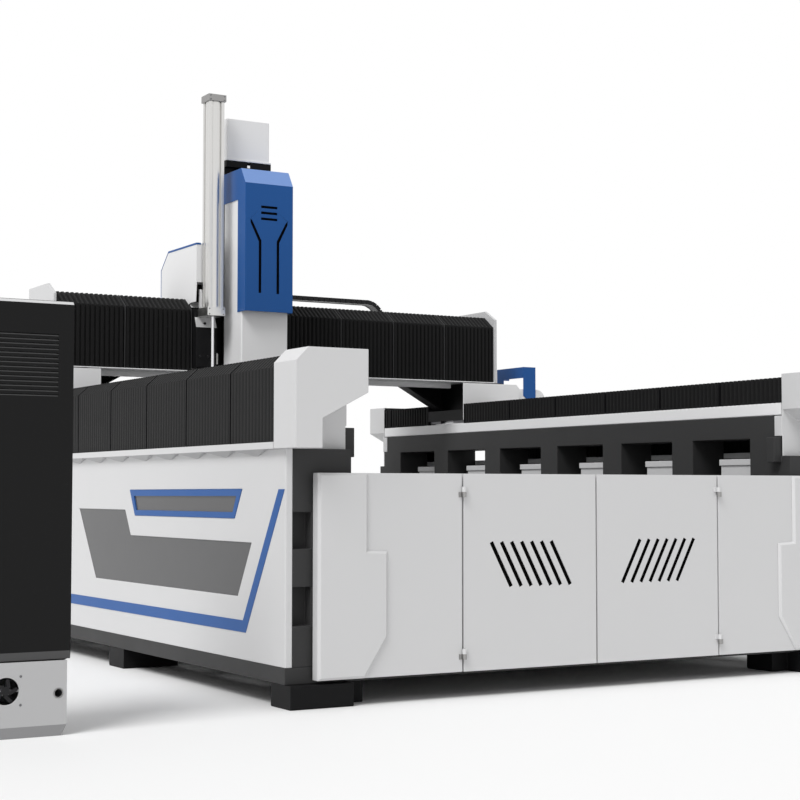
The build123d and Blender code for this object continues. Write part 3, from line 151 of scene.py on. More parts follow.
def shader_node(tree: Tree, kind: str, values: dict | None = None, **settings: object) -> Node:
    """Adds a node.

    Args:
        tree: where it goes.
        kind: the node's class, without ShaderNode before it.
        values: input values, by socket name or number.
        settings: the node's own properties.

    Returns:
        The node.
    """
    made = tree.nodes.new(f"ShaderNode{kind}")
    for key, value in settings.items():
        setattr(made, key, value)
    for key, value in (values or {}).items():
        made.inputs[key].default_value = value
    return made


def wire(tree: Tree, *links: tuple[Node, str | int, Node, str | int]) -> None:
    """Links nodes.

    Args:
        tree: the nodes' tree.
        links: for each link a node, its output, the next node and its input.
    """
    for source, output, target, entry in links:
        tree.links.new(source.outputs[output], target.inputs[entry])


def start_group(name: str, inputs: dict[str, str], outputs: dict[str, str]) -> tuple[Tree, Node, Node]:
    """Starts a shader node group.

    Args:
        name: the group's name.
        inputs: kind of each input, by name.
        outputs: kind of each output, by name.

    Returns:
        The tree, its input node and its output node.
    """
    tree = bpy.data.node_groups.new(name, "ShaderNodeTree")
    for side, sockets in (("INPUT", inputs), ("OUTPUT", outputs)):
        for label, kind in sockets.items():
            tree.interface.new_socket(name=label, in_out=side, socket_type=f"NodeSocket{kind}")
    return tree, tree.nodes.new("NodeGroupInput"), tree.nodes.new("NodeGroupOutput")


def colour_variation_group() -> Tree:
    """Cloudy change of a colour with a fine speckle on top.

    Returns:
        A group with output Color.
    """
    inputs = {"Colour": "Color", "Shade": "Color", "Scale": "Float", "Amount": "Float"}
    tree, given, result = start_group("colour_variation", inputs, {"Color": "Color"})
    place = shader_node(tree, "TexCoord")
    cloud = shader_node(tree, "TexNoise", {"Detail": 3.0, "Roughness": 0.55})
    speck = shader_node(tree, "TexNoise", {"Scale": 260.0, "Detail": 1.0})
    join = shader_node(tree, "Math", {1: 0.35}, operation="MULTIPLY_ADD")
    amount = shader_node(tree, "Math", operation="MULTIPLY")
    mix = shader_node(tree, "Mix", data_type="RGBA")
    wire(
        tree,
        (place, "Object", cloud, "Vector"),
        (place, "Object", speck, "Vector"),
        (given, "Scale", cloud, "Scale"),
        (speck, "Fac", join, 0),
        (cloud, "Fac", join, 2),
        (join, 0, amount, 0),
        (given, "Amount", amount, 1),
        (amount, 0, mix, "Factor"),
        (given, "Colour", mix, MIX_A),
        (given, "Shade", mix, MIX_B),
        (mix, MIX_RESULT, result, "Color"),
    )
    return tree


def orange_peel_group() -> Tree:
    """Fine waviness and uneven gloss of a sprayed or moulded skin.

    Returns:
        A group with outputs Height and Roughness.
    """
    inputs = {"Scale": "Float", "Base Roughness": "Float", "Spread": "Float"}
    tree, given, result = start_group("orange_peel", inputs, {"Height": "Float", "Roughness": "Float"})
    place = shader_node(tree, "TexCoord")
    peel = shader_node(tree, "TexNoise", {"Detail": 2.0, "Roughness": 0.5})
    smear = shader_node(tree, "TexNoise", {"Scale": 5.0, "Detail": 2.0})
    rough = shader_node(tree, "Math", operation="MULTIPLY_ADD")
    wire(
        tree,
        (place, "Object", peel, "Vector"),
        (place, "Object", smear, "Vector"),
        (given, "Scale", peel, "Scale"),
        (smear, "Fac", rough, 0),
        (given, "Spread", rough, 1),
        (given, "Base Roughness", rough, 2),
        (peel, "Fac", result, "Height"),
        (rough, 0, result, "Roughness"),
    )
    return tree


def edge_wear_group() -> Tree:
    """Mask of sharp edges, broken up by noise.

    Returns:
        A group with output Mask.
    """
    inputs = {"Radius": "Float", "Strength": "Float"}
    tree, given, result = start_group("edge_wear", inputs, {"Mask": "Float"})
    soft = shader_node(tree, "Bevel", samples=4)
    flat = shader_node(tree, "NewGeometry")
    turn = shader_node(tree, "VectorMath", operation="DOT_PRODUCT")
    edge = shader_node(tree, "MapRange", {"From Min": 0.995, "From Max": 0.9})
    place = shader_node(tree, "TexCoord")
    noise = shader_node(tree, "TexNoise", {"Scale": 40.0, "Detail": 3.0})
    broken = shader_node(tree, "Math", operation="MULTIPLY")
    scaled = shader_node(tree, "Math", operation="MULTIPLY", use_clamp=True)
    wire(
        tree,
        (given, "Radius", soft, "Radius"),
        (soft, "Normal", turn, 0),
        (flat, "Normal", turn, 1),
        (turn, "Value", edge, "Value"),
        (place, "Object", noise, "Vector"),
        (edge, "Result", broken, 0),
        (noise, "Fac", broken, 1),
        (broken, 0, scaled, 0),
        (given, "Strength", scaled, 1),
        (scaled, 0, result, "Mask"),
    )
    return tree


def brushed_grain_group() -> Tree:
    """Fine lines of a drawn, ground or brushed metal.

    Returns:
        A group with output Mask, which is also the height of the lines.
    """
    tree, given, result = start_group("brushed_grain", {"Stretch": "Vector"}, {"Mask": "Float"})
    place = shader_node(tree, "TexCoord")
    stretch = shader_node(tree, "VectorMath", operation="MULTIPLY")
    lines = shader_node(tree, "TexNoise", {"Scale": 1.0, "Detail": 3.0})
    wire(
        tree,
        (place, "Object", stretch, 0),
        (given, "Stretch", stretch, 1),
        (stretch, "Vector", lines, "Vector"),
        (lines, "Fac", result, "Mask"),
    )
    return tree


def cloth_weave_group() -> Tree:
    """Crossed threads of a coated cloth.

    Returns:
        A group with output Height.
    """
    tree, given, result = start_group("cloth_weave", {"Scale": "Float"}, {"Height": "Float"})
    place = shader_node(tree, "TexCoord")
    both = shader_node(tree, "Math", operation="ADD")
    for entry, direction in enumerate(("Z", "DIAGONAL")):
        wave = shader_node(tree, "TexWave", bands_direction=direction)
        wire(
            tree,
            (place, "Object", wave, "Vector"),
            (given, "Scale", wave, "Scale"),
            (wave, "Fac", both, entry),
        )
    wire(tree, (both, 0, result, "Height"))
    return tree


class Groups:
    """The shared shader groups, each built once."""

    variation = colour_variation_group()
    peel = orange_peel_group()
    wear = edge_wear_group()
    brushed = brushed_grain_group()
    weave = cloth_weave_group()


# Finishes


@dataclass(frozen=True)
class Finish:
    """A finish that every material starts from."""

    name: str
    colour: Colour
    roughness: float = 0.4
    metallic: float = 0.0
    specular: float = 0.4
    bump: float = 0.3
    bump_depth: float = 0.0002

    def material(self) -> bpy.types.Material:
        """The finish's material, built on first use."""
        name = f"{self.name}_finish"
        return bpy.data.materials.get(name) or self.build(name)

    def build(self, name: str) -> bpy.types.Material:
        """Builds the material.

        Args:
            name: the material's name.

        Returns:
            The material.
        """
        material = bpy.data.materials.new(name)
        material.use_nodes = True
        material.diffuse_color = (*self.colour, 1)
        shader = material.node_tree.nodes["Principled BSDF"]
        shader.inputs["Base Color"].default_value = (*self.colour, 1)
        shader.inputs["Roughness"].default_value = self.roughness
        shader.inputs["Metallic"].default_value = self.metallic
        shader.inputs["Specular IOR Level"].default_value = self.specular
        self.surface(material.node_tree, shader)
        return material

    def surface(self, tree: Tree, shader: Node) -> None:
        """Adds the nodes that each kind of finish has of its own."""
        raise NotImplementedError

    def shaded(self, factor: float, lift: float = 0.0) -> tuple[float, ...]:
        """The opaque colour with its channels scaled and lifted."""
        return (*(min(1.0, channel * factor + lift) for channel in self.colour), 1.0)

    def clouded(self, tree: Tree, shade: tuple[float, ...], scale: float, amount: float) -> Node:
        """Places the cloudy change of the colour towards a shade of it."""
        values = {"Colour": self.shaded(1.0), "Shade": shade, "Scale": scale, "Amount": amount}
        return shader_node(tree, "Group", values, node_tree=Groups.variation)

    def bump_into(self, tree: Tree, source: Node, output: str, shader: Node) -> None:
        """Feeds a height to the shader's normal."""
        bump = shader_node(tree, "Bump", {"Strength": self.bump, "Distance": self.bump_depth})
        wire(tree, (source, output, bump, "Height"), (bump, "Normal", shader, "Normal"))


@dataclass(frozen=True)
class SprayedPaint(Finish):
    """Powder coat or sprayed paint on sheet metal."""

    bump: float = 0.35
    peel_scale: float = 220.0
    gloss: float = 0.05
    gloss_spread: float = 0.12
    cloud_scale: float = 1.7
    cloud: float = 0.25
    shade: float = 0.93
    chips: float = 0.0
    chip_radius: float = 0.0025
    chip_colour: Colour = (0.35, 0.35, 0.36)

    def surface(self, tree: Tree, shader: Node) -> None:
        """Adds the clouds, the worn edges and the uneven gloss.

        Args:
            tree: the material's tree.
            shader: the Principled shader.
        """
        source = self.clouded(tree, self.shaded(self.shade), self.cloud_scale, self.cloud)
        output = "Color"
        if self.chips > 0:
            values = {"Radius": self.chip_radius, "Strength": self.chips}
            worn = shader_node(tree, "Group", values, node_tree=Groups.wear)
            mix = shader_node(tree, "Mix", {MIX_B: (*self.chip_colour, 1)}, data_type="RGBA")
            wire(tree, (worn, "Mask", mix, "Factor"), (source, output, mix, MIX_A))
            source, output = mix, MIX_RESULT
        smooth = self.roughness - self.gloss
        values = {"Scale": self.peel_scale, "Base Roughness": smooth, "Spread": self.gloss_spread}
        peel = shader_node(tree, "Group", values, node_tree=Groups.peel)
        wire(tree, (source, output, shader, "Base Color"), (peel, "Roughness", shader, "Roughness"))
        self.bump_into(tree, peel, "Height", shader)


@dataclass(frozen=True)
class MouldedPlastic(SprayedPaint):
    """Moulded plastic, whose skin varies as paint does but more finely."""

    bump: float = 0.3
    peel_scale: float = 600.0
    gloss: float = 0.06
    gloss_spread: float = 0.14
    cloud_scale: float = 6.0
    cloud: float = 0.3
    shade: float = 1.3


@dataclass(frozen=True)
class WorkedMetal(Finish):
    """Ground, brushed or drawn metal with its lines along one axis."""

    metallic: float = 1.0
    bump: float = 0.15
    lines: Axis = Axis.Z
    fineness: float = 500.0
    lengthwise: float = 3.0
    contrast: float = 0.25
    least_roughness: float = 0.05
    smoother: float = 0.1
    rougher: float = 0.12

    def surface(self, tree: Tree, shader: Node) -> None:
        """Adds the lines.

        Args:
            tree: the material's tree.
            shader: the Principled shader.
        """
        stretch = self.lines.order(self.fineness, self.fineness, self.lengthwise)
        grain = shader_node(tree, "Group", {"Stretch": stretch}, node_tree=Groups.brushed)
        colours = {MIX_A: self.shaded(1.0), MIX_B: self.shaded(1 - self.contrast)}
        mix = shader_node(tree, "Mix", colours, data_type="RGBA")
        smooth = max(self.least_roughness, self.roughness - self.smoother)
        rough = shader_node(tree, "MapRange", {"To Min": smooth, "To Max": self.roughness + self.rougher})
        wire(
            tree,
            (grain, "Mask", mix, "Factor"),
            (grain, "Mask", rough, "Value"),
            (mix, MIX_RESULT, shader, "Base Color"),
            (rough, "Result", shader, "Roughness"),
        )
        self.bump_into(tree, grain, "Mask", shader)


@dataclass(frozen=True)
class CoatedCloth(Finish):
    """Coated cloth of the pleated covers."""

    bump: float = 0.25
    bump_depth: float = 0.0003
    thread_scale: float = 240.0
    worn_factor: float = 1.5
    worn_lift: float = 0.004
    cloud_scale: float = 4.0
    cloud: float = 0.35
    sheen: float = 0.04
    sheen_roughness: float = 0.5

    def surface(self, tree: Tree, shader: Node) -> None:
        """Adds the worn clouds, the weave and a faint sheen.

        Args:
            tree: the material's tree.
            shader: the Principled shader.
        """
        worn = self.shaded(self.worn_factor, self.worn_lift)
        tint = self.clouded(tree, worn, self.cloud_scale, self.cloud)
        weave = shader_node(tree, "Group", {"Scale": self.thread_scale}, node_tree=Groups.weave)
        wire(tree, (tint, "Color", shader, "Base Color"))
        self.bump_into(tree, weave, "Height", shader)
        shader.inputs["Sheen Weight"].default_value = self.sheen
        shader.inputs["Sheen Roughness"].default_value = self.sheen_roughness


class Finishes:
    """Every finish of the machine, by what it is on."""

    WHITE = SprayedPaint("white_powder_coat", (0.625, 0.625, 0.63), 0.42)
    # Painted light: a lighter copy of the same white, for the hood, ram, covers and drives that catch more
    # light, and for the rails and beam flange that lie in shade.
    LIT_WHITE = SprayedPaint("white_painted_light", (0.84, 0.84, 0.845), 0.42)
    # Also serves as the painted highlight on the cabinet door's fold and on the wing's slanted top.
    LIGHT_GREY = SprayedPaint("light_grey_paint_and_highlight", (0.60, 0.60, 0.605), 0.45)
    PLINTH_GREY = SprayedPaint("plinth_grey_paint", (0.47, 0.47, 0.475), 0.45)
    # Painted shade: the darker grey of the cabinet's foot strip, under the plinth.
    FOOT_SHADE = SprayedPaint("foot_painted_shade", (0.26, 0.26, 0.265), 0.5)
    # Painted shade: the grey of the saw-tooth apron under the ledges, which faces down into shade.
    APRON_SHADE = SprayedPaint("apron_painted_shade", (0.40, 0.40, 0.405), 0.45)
    DARK_FRAME = SprayedPaint(
        "dark_frame_paint", (0.041, 0.041, 0.0415), 0.5, specular=0.15, cloud=0.4, chips=0.12
    )
    BLACK = SprayedPaint("black_paint", (0.0085, 0.0085, 0.009), 0.42, specular=0.07, shade=1.4, chips=0.06)
    CABINET_BLACK = SprayedPaint(
        "cabinet_black_paint", (0.0075, 0.0075, 0.0077), 0.36, specular=0.13, shade=1.2, peel_scale=400.0
    )
    # Painted highlight: the light caught by the cabinet's louvre blades and lips and by the door's slanted
    # skirt.
    LOUVRE_HIGHLIGHT = SprayedPaint("louvre_painted_highlight", (0.075, 0.075, 0.076), 0.45, specular=0.2)
    BLUE = SprayedPaint("blue_paint", (0.018, 0.096, 0.320), 0.34, specular=0.14)
    # Painted highlight: a lighter copy of the blue that paints the glossy reflection on the ram cover's chamfer.
    LIT_BLUE = SprayedPaint("blue_painted_highlight", (0.17, 0.29, 0.60), 0.34, specular=0.3)
    BEAM_GREY = SprayedPaint("beam_grey_paint", (0.42, 0.41, 0.41), 0.5)
    PANE = MouldedPlastic("tinted_pane", (0.078, 0.078, 0.080), 0.18, specular=0.25)
    STEEL = WorkedMetal("ground_steel", (0.55, 0.55, 0.56), 0.32, lines=Axis.Y)
    STEEL_ACROSS = WorkedMetal("ground_steel_across", (0.55, 0.55, 0.56), 0.32, lines=Axis.X)
    BLUED_STEEL = WorkedMetal("blued_steel", (0.10, 0.10, 0.105), 0.38, lines=Axis.Y)
    CHROME = WorkedMetal("hard_chrome", (0.80, 0.80, 0.82), 0.16, contrast=0.05)
    ALUMINIUM = WorkedMetal("anodised_aluminium", (0.72, 0.715, 0.70), 0.3, contrast=0.12)
    HEAD_METAL = WorkedMetal("cast_head_aluminium", (0.36, 0.355, 0.35), 0.42, contrast=0.12)
    CAST_TABLE = WorkedMetal("machined_table", (0.24, 0.245, 0.25), 0.42, lines=Axis.X, fineness=160.0)
    CLOTH = CoatedCloth("bellows_cloth", (0.0105, 0.0105, 0.0107), 0.6, specular=0.05)
    SEAM_PLATE = MouldedPlastic("bellows_seam_plate", (0.045, 0.045, 0.046), 0.4, specular=0.2)
    CHAIN_SIDE = MouldedPlastic("chain_underside", (0.22, 0.22, 0.222), 0.45, specular=0.3)
    CHAIN = MouldedPlastic("chain_plastic", (0.012, 0.012, 0.013), 0.38, specular=0.2)
    BOLT = WorkedMetal("bolt_steel", (0.22, 0.22, 0.23), 0.38)
    SHADOW = MouldedPlastic("unlit_inside", (0.004, 0.004, 0.004), 0.9, specular=0.0)


# Mesh helpers


def finish_object(
    name: str, shape: Mesh, finishes: list[Finish], body: str | None, node: str | None = None
) -> Piece:
    """Turns a finished bmesh into a piece that rides on a body.

    Args:
        name: the piece's name.
        shape: its mesh, in metres in the row frame.
        finishes: the finish of each of its material slots.
        body: the CAD body it rides on, or None for no body.
        node: the CAD node it stands for, if any.

    Returns:
        The object.
    """
    mesh = bpy.data.meshes.new(name)
    bmesh.ops.recalc_face_normals(shape, faces=shape.faces[:])
    shape.to_mesh(mesh)
    shape.free()
    piece = bpy.data.objects.new(name, mesh)
    bpy.context.scene.collection.objects.link(piece)
    for finish in finishes:
        mesh.materials.append(finish.material())
    if body:
        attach(piece, body)
    if node:
        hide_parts(node)
    LOG.info("made %s with %d faces", name, len(mesh.polygons))
    return piece


def finish_second(piece: Piece, test: Callable[[Vector], bool]) -> None:
    """Gives a piece's second finish to the faces whose normal passes a test."""
    for face in piece.data.polygons:
        face.material_index = int(test(face.normal))


def soften(piece: Piece, edge: Edge) -> None:
    """Rounds a piece's sharp edges and evens its shading.

    Args:
        piece: the object.
        edge: the rounding.
    """
    piece.data.shade_smooth()
    width_mm, faces = edge.value
    bevel = piece.modifiers.new("rounded_edges", "BEVEL")
    bevel.width = width_mm / 1000
    bevel.segments = faces
    bevel.limit_method = "ANGLE"
    bevel.angle_limit = math.radians(SHARP_ANGLE)
    bevel.use_clamp_overlap = True
    bevel.loop_slide = False
    bevel.miter_outer = "MITER_ARC"
    piece.modifiers.new("even_shading", "WEIGHTED_NORMAL").keep_sharp = True


def has_one_rim(region: list[bmesh.types.BMFace]) -> bool:
    """Tells whether a patch of faces has a single closed rim, and so no holes.

    Args:
        region: the patch.

    Returns:
        True where one loop of edges goes round it.
    """
    inside = set(region)
    rim = {edge for face in region for edge in face.edges if sum(f in inside for f in edge.link_faces) == 1}
    ends: dict[bmesh.types.BMVert, list[bmesh.types.BMEdge]] = {}
    for edge in rim:
        for vert in edge.verts:
            ends.setdefault(vert, []).append(edge)
    if any(len(edges) != 2 for edges in ends.values()):
        return False
    here = next(iter(ends))
    walked = {here}
    while True:
        onward = [edge.other_vert(here) for edge in ends[here] if edge.other_vert(here) not in walked]
        if not onward:
            return len(walked) == len(ends)
        here = onward[0]
        walked.add(here)


def merge_flat_faces(shape: Mesh) -> None:
    """Joins the triangles of each flat face without holes into one polygon.

    Args:
        shape: the bmesh.
    """
    shape.normal_update()
    limit = math.cos(math.radians(FLAT_ANGLE))
    seen: set[bmesh.types.BMFace] = set()
    regions = []
    for face in shape.faces:
        if face in seen:
            continue
        seen.add(face)
        region, queue = [face], [face]
        while queue:
            here = queue.pop()
            for other in {other for edge in here.edges for other in edge.link_faces}:
                if other not in seen and other.normal.dot(face.normal) > limit:
                    seen.add(other)
                    region.append(other)
                    queue.append(other)
        regions.append(region)
    for region in regions:
        if len(region) > 1 and has_one_rim(region):
            bmesh.ops.dissolve_faces(shape, faces=region, use_verts=False)


Zone = tuple[Finish, Callable[[Vector, Vector], bool]]


def from_cad(
    node: str, finish: Finish, edge: Edge, zones: tuple[Zone, ...] = (), cut_mm: float | None = None
) -> Piece:
    """Replaces a CAD node by its own form with folded or broken edges.

    Args:
        node: the CAD node.
        finish: its finish.
        edge: how its edges are rounded.
        zones: other finishes, each with a test of a face's middle, in millimetres, and normal.
        cut_mm: a level at which the faces are cut so that a zone can end there.

    Returns:
        The new object.
    """
    source = frame["nodes"][node]
    shape = bmesh.new()
    shape.from_mesh(source.data)
    bmesh.ops.remove_doubles(shape, verts=shape.verts[:], dist=SAME_SPOT)
    merge_flat_faces(shape)
    if cut_mm is not None:
        everything = shape.verts[:] + shape.edges[:] + shape.faces[:]
        bmesh.ops.bisect_plane(shape, geom=everything, plane_co=(0, 0, cut_mm / 1000), plane_no=(0, 0, 1))
    finishes = [finish]
    for other, test in zones:
        for face in shape.faces:
            if test(face.calc_center_median() * 1000, face.normal):
                face.material_index = len(finishes)
        finishes.append(other)
    piece = finish_object(f"{node}_finished", shape, finishes, source["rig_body"], node)
    soften(piece, edge)
    return piece


def dress(node: str, finish: Finish) -> None:
    """Gives a CAD node that stays as it is its finish."""
    mesh = frame["nodes"][node].data
    mesh.materials.clear()
    mesh.materials.append(finish.material())


def skin_rings(shape: Mesh, rings: list[Ring], material: int = 0, closed: bool = False) -> None:
    """Lays faces over a row of vertex rings.

    Args:
        shape: the bmesh.
        rings: the rings, each with as many vertices.
        material: the faces' material slot.
        closed: True where the last ring joins the first. Otherwise each end gets a face.
    """
    faces = [] if closed else [shape.faces.new(rings[0]), shape.faces.new(rings[-1])]
    for near, far in zip(rings, rings[1:] + (rings[:1] if closed else [])):
        for i in range(len(near)):
            j = (i + 1) % len(near)
            faces.append(shape.faces.new((near[i], near[j], far[j], far[i])))
    for face in faces:
        face.material_index = material


def rectangle(low_u: float, low_v: float, high_u: float, high_v: float) -> list[Point]:
    """Corners of a rectangle, in turn."""
    return [(low_u, low_v), (high_u, low_v), (high_u, high_v), (low_u, high_v)]


def add_slab(shape: Mesh, axis: Axis, outline: Outline, low: float, high: float) -> None:
    """Adds an outline that has some thickness along an axis.

    Args:
        shape: the bmesh.
        axis: the row axis of its thickness.
        outline: corners along the two other axes, in millimetres of row().
        low: where it starts along the axis.
        high: where it ends.
    """
    rings = [[shape.verts.new(row(*axis.order(u, v, w))) for u, v in outline] for w in (low, high)]
    skin_rings(shape, rings)


def slab_piece(
    name: str, finishes: list[Finish], body: str, slot: str, *slabs: tuple[Axis, Outline, float, float]
) -> Piece:
    """Makes a piece of one or more slabs.

    Args:
        name: the piece's name.
        finishes: the finish of each of its material slots.
        body: the CAD body it rides on.
        slot: the record's material slot; not used.
        slabs: for each slab what add_slab takes after the bmesh.

    Returns:
        The object.
    """
    shape = bmesh.new()
    for slab in slabs:
        add_slab(shape, *slab)
    return finish_object(name, shape, finishes, body)


def add_turned(shape: Mesh, centre: Vector, profile: Outline, sides: int, closed: bool = False) -> None:
    """Adds a form turned about the Y axis.

    Args:
        shape: the bmesh.
        centre: where its own zero lies, in metres.
        profile: radius and distance along Y of each ring, in millimetres.
        sides: how many sides it has.
        closed: True where it is a ring, whose profile closes on itself.
    """
    turns = [2 * math.pi * i / sides for i in range(sides)]
    rings = [
        [shape.verts.new(centre + Vector((r * math.cos(a), along, r * math.sin(a))) / 1000) for a in turns]
        for r, along in profile
    ]
    skin_rings(shape, rings, closed=closed)


@dataclass
class BoltSet:
    """A group of socket head bolts that look to the front and share a body."""

    name: str
    body: str
    spots: list[Vector]
    finish: Finish = Finishes.BOLT
    head_mm: float = 9.0
    height_mm: float = 7.0
    chamfer_mm: Point = (1.0, 1.2)
    socket_shares: Point = (0.52, 0.48)
    socket_depth: float = 0.45
    sides: int = 12

    def build(self) -> None:
        """Builds the heads, each with its socket."""
        radius, face = self.head_mm, -self.height_mm
        rim, floor = (radius * share for share in self.socket_shares)
        profile = [
            (radius, 0.0),
            (radius, face + self.chamfer_mm[1]),
            (radius - self.chamfer_mm[0], face),
            (rim, face),
            (floor, face * self.socket_depth),
        ]
        shape = bmesh.new()
        for spot in self.spots:
            add_turned(shape, spot, profile, self.sides)
        finish_object(self.name, shape, [self.finish], self.body)


# Pleated covers


def inset_outline(points: Outline, depths: list[float]) -> list[Point]:
    """Moves each side of an open outline to its right by a depth of its own.

    Args:
        points: the outline's corners.
        depths: how far each side moves, in the points' units.

    Returns:
        The moved corners.
    """
    sides = []
    for (u0, v0), (u1, v1), depth in zip(points, points[1:], depths):
        length = math.hypot(u1 - u0, v1 - v0)
        nu, nv = (v1 - v0) / length, -(u1 - u0) / length
        sides.append((nu, nv, nu * u0 + nv * v0 + depth))
    moved = [(points[0][0] + sides[0][0] * depths[0], points[0][1] + sides[0][1] * depths[0])]
    for (a, b, c), (d, e, f) in zip(sides, sides[1:]):
        turn = a * e - b * d
        moved.append(((c * e - b * f) / turn, (a * f - c * d) / turn))
    moved.append((points[-1][0] + sides[-1][0] * depths[-1], points[-1][1] + sides[-1][1] * depths[-1]))
    return moved


@dataclass
class PleatedCover:
    """A folded cloth cover that stretches between two bodies, in millimetres."""

    name: str
    node: str
    outline: list[Point]
    depths: list[float]
    run: Point
    along: Axis
    still_body: str
    moving_body: str
    still_at_start: bool
    seams: list[float]
    pitch: float = 36.0
    ridge_share: float = 0.4
    slope_share: float = 0.24
    cloth: float = 1.6
    gap: float = 7.0
    gap_slopes: Point = (0.5, 1.0)
    gap_share: float = 2.2
    least_gap_depth: float = 6.0
    plate: float = 3.5
    plate_share: float = 2.4
    plate_finish: Finish = Finishes.SEAM_PLATE

    def stations(self) -> list[Point]:
        """Places the rings of the pleats.

        Returns:
            Distance along the run of each ring, and its share of the full depth.
        """
        start, end = self.run
        marks = [start, *self.seams, end]
        rings = []
        for near, far in zip(marks, marks[1:]):
            length = far - near - self.gap - self.plate
            pleats = max(2, round(length / self.pitch))
            step = length / pleats
            valley = (1 - self.ridge_share - 2 * self.slope_share) * step / 2
            pleat = (
                (0.0, 1.0),
                (valley, 1.0),
                (valley + self.slope_share * step, 0.0),
                (valley + (self.slope_share + self.ridge_share) * step, 0.0),
                (step - valley, 1.0),
            )
            for i in range(pleats):
                base = near + self.plate + i * step
                rings += [(base + offset, share) for offset, share in pleat]
            rings.append((far - self.gap, 1.0))
            rings.append((far - self.gap + self.gap_slopes[0], self.gap_share))
            rings.append((far - self.gap_slopes[1], self.gap_share))
        rings.append((end, 1.0))
        return rings

    def section(self, shape: Mesh, along: float, depths: list[float], inner: list[float]) -> Ring:
        """Adds the vertices of one section of the cover.

        Args:
            shape: the cover's bmesh.
            along: its distance along the run.
            depths: how far its outer side lies inside the outline.
            inner: how far its inner side does.

        Returns:
            The section's ring.
        """
        corners = inset_outline(self.outline, depths) + inset_outline(self.outline, inner)[::-1]
        return [shape.verts.new(self.along.order(u / 1000, v / 1000, along / 1000)) for u, v in corners]

    def build(self) -> None:
        """Builds the pleats and the plates between sections."""
        shape = bmesh.new()
        gap_depths = [max(depth, self.least_gap_depth) for depth in self.depths]
        rings = []
        for along, share in self.stations():
            depths = [depth * share for depth in (self.depths if share <= 1 else gap_depths)]
            rings.append(self.section(shape, along, depths, [depth + self.cloth for depth in depths]))
        skin_rings(shape, rings)
        start, end = self.run
        flush, deep = [0.0] * len(self.depths), [self.plate_share * depth for depth in gap_depths]
        for place in (start + self.plate / 2, *self.seams, end - self.plate / 2):
            sides = (place - self.plate / 2, place + self.plate / 2)
            skin_rings(shape, [self.section(shape, along, flush, deep) for along in sides], material=1)
        finishes = [Finishes.CLOTH, self.plate_finish]
        piece = finish_object(self.name, shape, finishes, None, self.node)
        axis = Vector(self.along.order(0, 0, 1))
        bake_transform(piece)


@dataclass
class SideCovers:
    """The four covers over the lengthwise rails."""

    inner_mm: float = 1395.0
    chamfer_mm: float = 1690.0
    outer_mm: float = 1755.0
    beam_top_mm: float = 1497.5
    top_mm: float = 1640.0
    bend_mm: float = 1580.0
    ledge_mm: float = 1229.5
    section_mm: float = 550.0
    first_seam_mm: float = 655.0
    seam_count: int = 9
    seam_clear_mm: float = 60.0
    seam_gap_mm: float = 16.0
    depths_mm: tuple[float, ...] = (12.0, 11.0, 3.0, 1.3)

    def outline(self, side: int) -> list[Point]:
        """Outer outline on one side, walked so that the inside lies to its right.

        Args:
            side: -1 for the left and 1 for the right.

        Returns:
            Its corners along X and Z, in millimetres.
        """
        points = [
            (self.inner_mm, self.beam_top_mm),
            (self.inner_mm, self.top_mm),
            (self.chamfer_mm, self.top_mm),
            (self.outer_mm, self.bend_mm),
            (self.outer_mm, self.ledge_mm),
        ]
        return points if side > 0 else [(-x, z) for x, z in reversed(points)]

    def seams(self, low: float, high: float) -> list[float]:
        """Places of the section plates of one cover, in millimetres of row Y."""
        marks = [row_y(self.first_seam_mm) + i * self.section_mm for i in range(self.seam_count)]
        return [mark for mark in marks if low + self.seam_clear_mm < mark < high - self.seam_clear_mm]

    def build(self) -> None:
        """Builds the front and rear cover of each side."""
        for side, word in ((-1, "left"), (1, "right")):
            for place in ("front", "rear"):
                node = f"bellows_{place}_{word}"
                start, end = (corner.y * 1000 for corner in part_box(node))
                PleatedCover(
                    name=f"{place}_{word}_bellows",
                    node=node,
                    outline=self.outline(side),
                    depths=list(self.depths_mm)[::side],
                    run=(start, end),
                    along=Axis.Y,
                    still_body="machine",
                    moving_body="gantry",
                    still_at_start=place == "front",
                    seams=self.seams(start, end),
                    plate_finish=Finishes.CHAIN,
                    gap=self.seam_gap_mm,
                ).build()


@dataclass
class BeamCovers:
    """The two covers over the beam, either side of the saddle."""

    front_mm: float = 3482.0
    rear_mm: float = 3960.0
    lip_mm: float = 1808.5
    bend_mm: float = 2218.0
    top_mm: float = 2302.0
    chamfer_mm: float = 118.0
    section_mm: float = 420.0
    pitch_mm: float = 32.0
    depths_mm: tuple[float, ...] = (13.0, 13.0, 12.0)

    def build(self) -> None:
        """Builds both covers."""
        front = row_y(self.front_mm)
        outline = [
            (front, self.lip_mm),
            (front, self.bend_mm),
            (front + self.chamfer_mm, self.top_mm),
            (row_y(self.rear_mm), self.top_mm),
        ]
        for word in ("left", "right"):
            node = f"beam_bellows_{word}"
            start, end = (corner.x * 1000 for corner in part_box(node))
            count = max(2, round((end - start) / self.section_mm))
            PleatedCover(
                name=f"beam_cover_{word}",
                node=node,
                outline=outline,
                depths=list(self.depths_mm),
                run=(start, end),
                along=Axis.X,
                still_body="gantry",
                moving_body="saddle_body",
                still_at_start=word == "left",
                seams=[start + (end - start) * i / count for i in range(1, count)],
                pitch=self.pitch_mm,
            ).build()


# Sub-assemblies


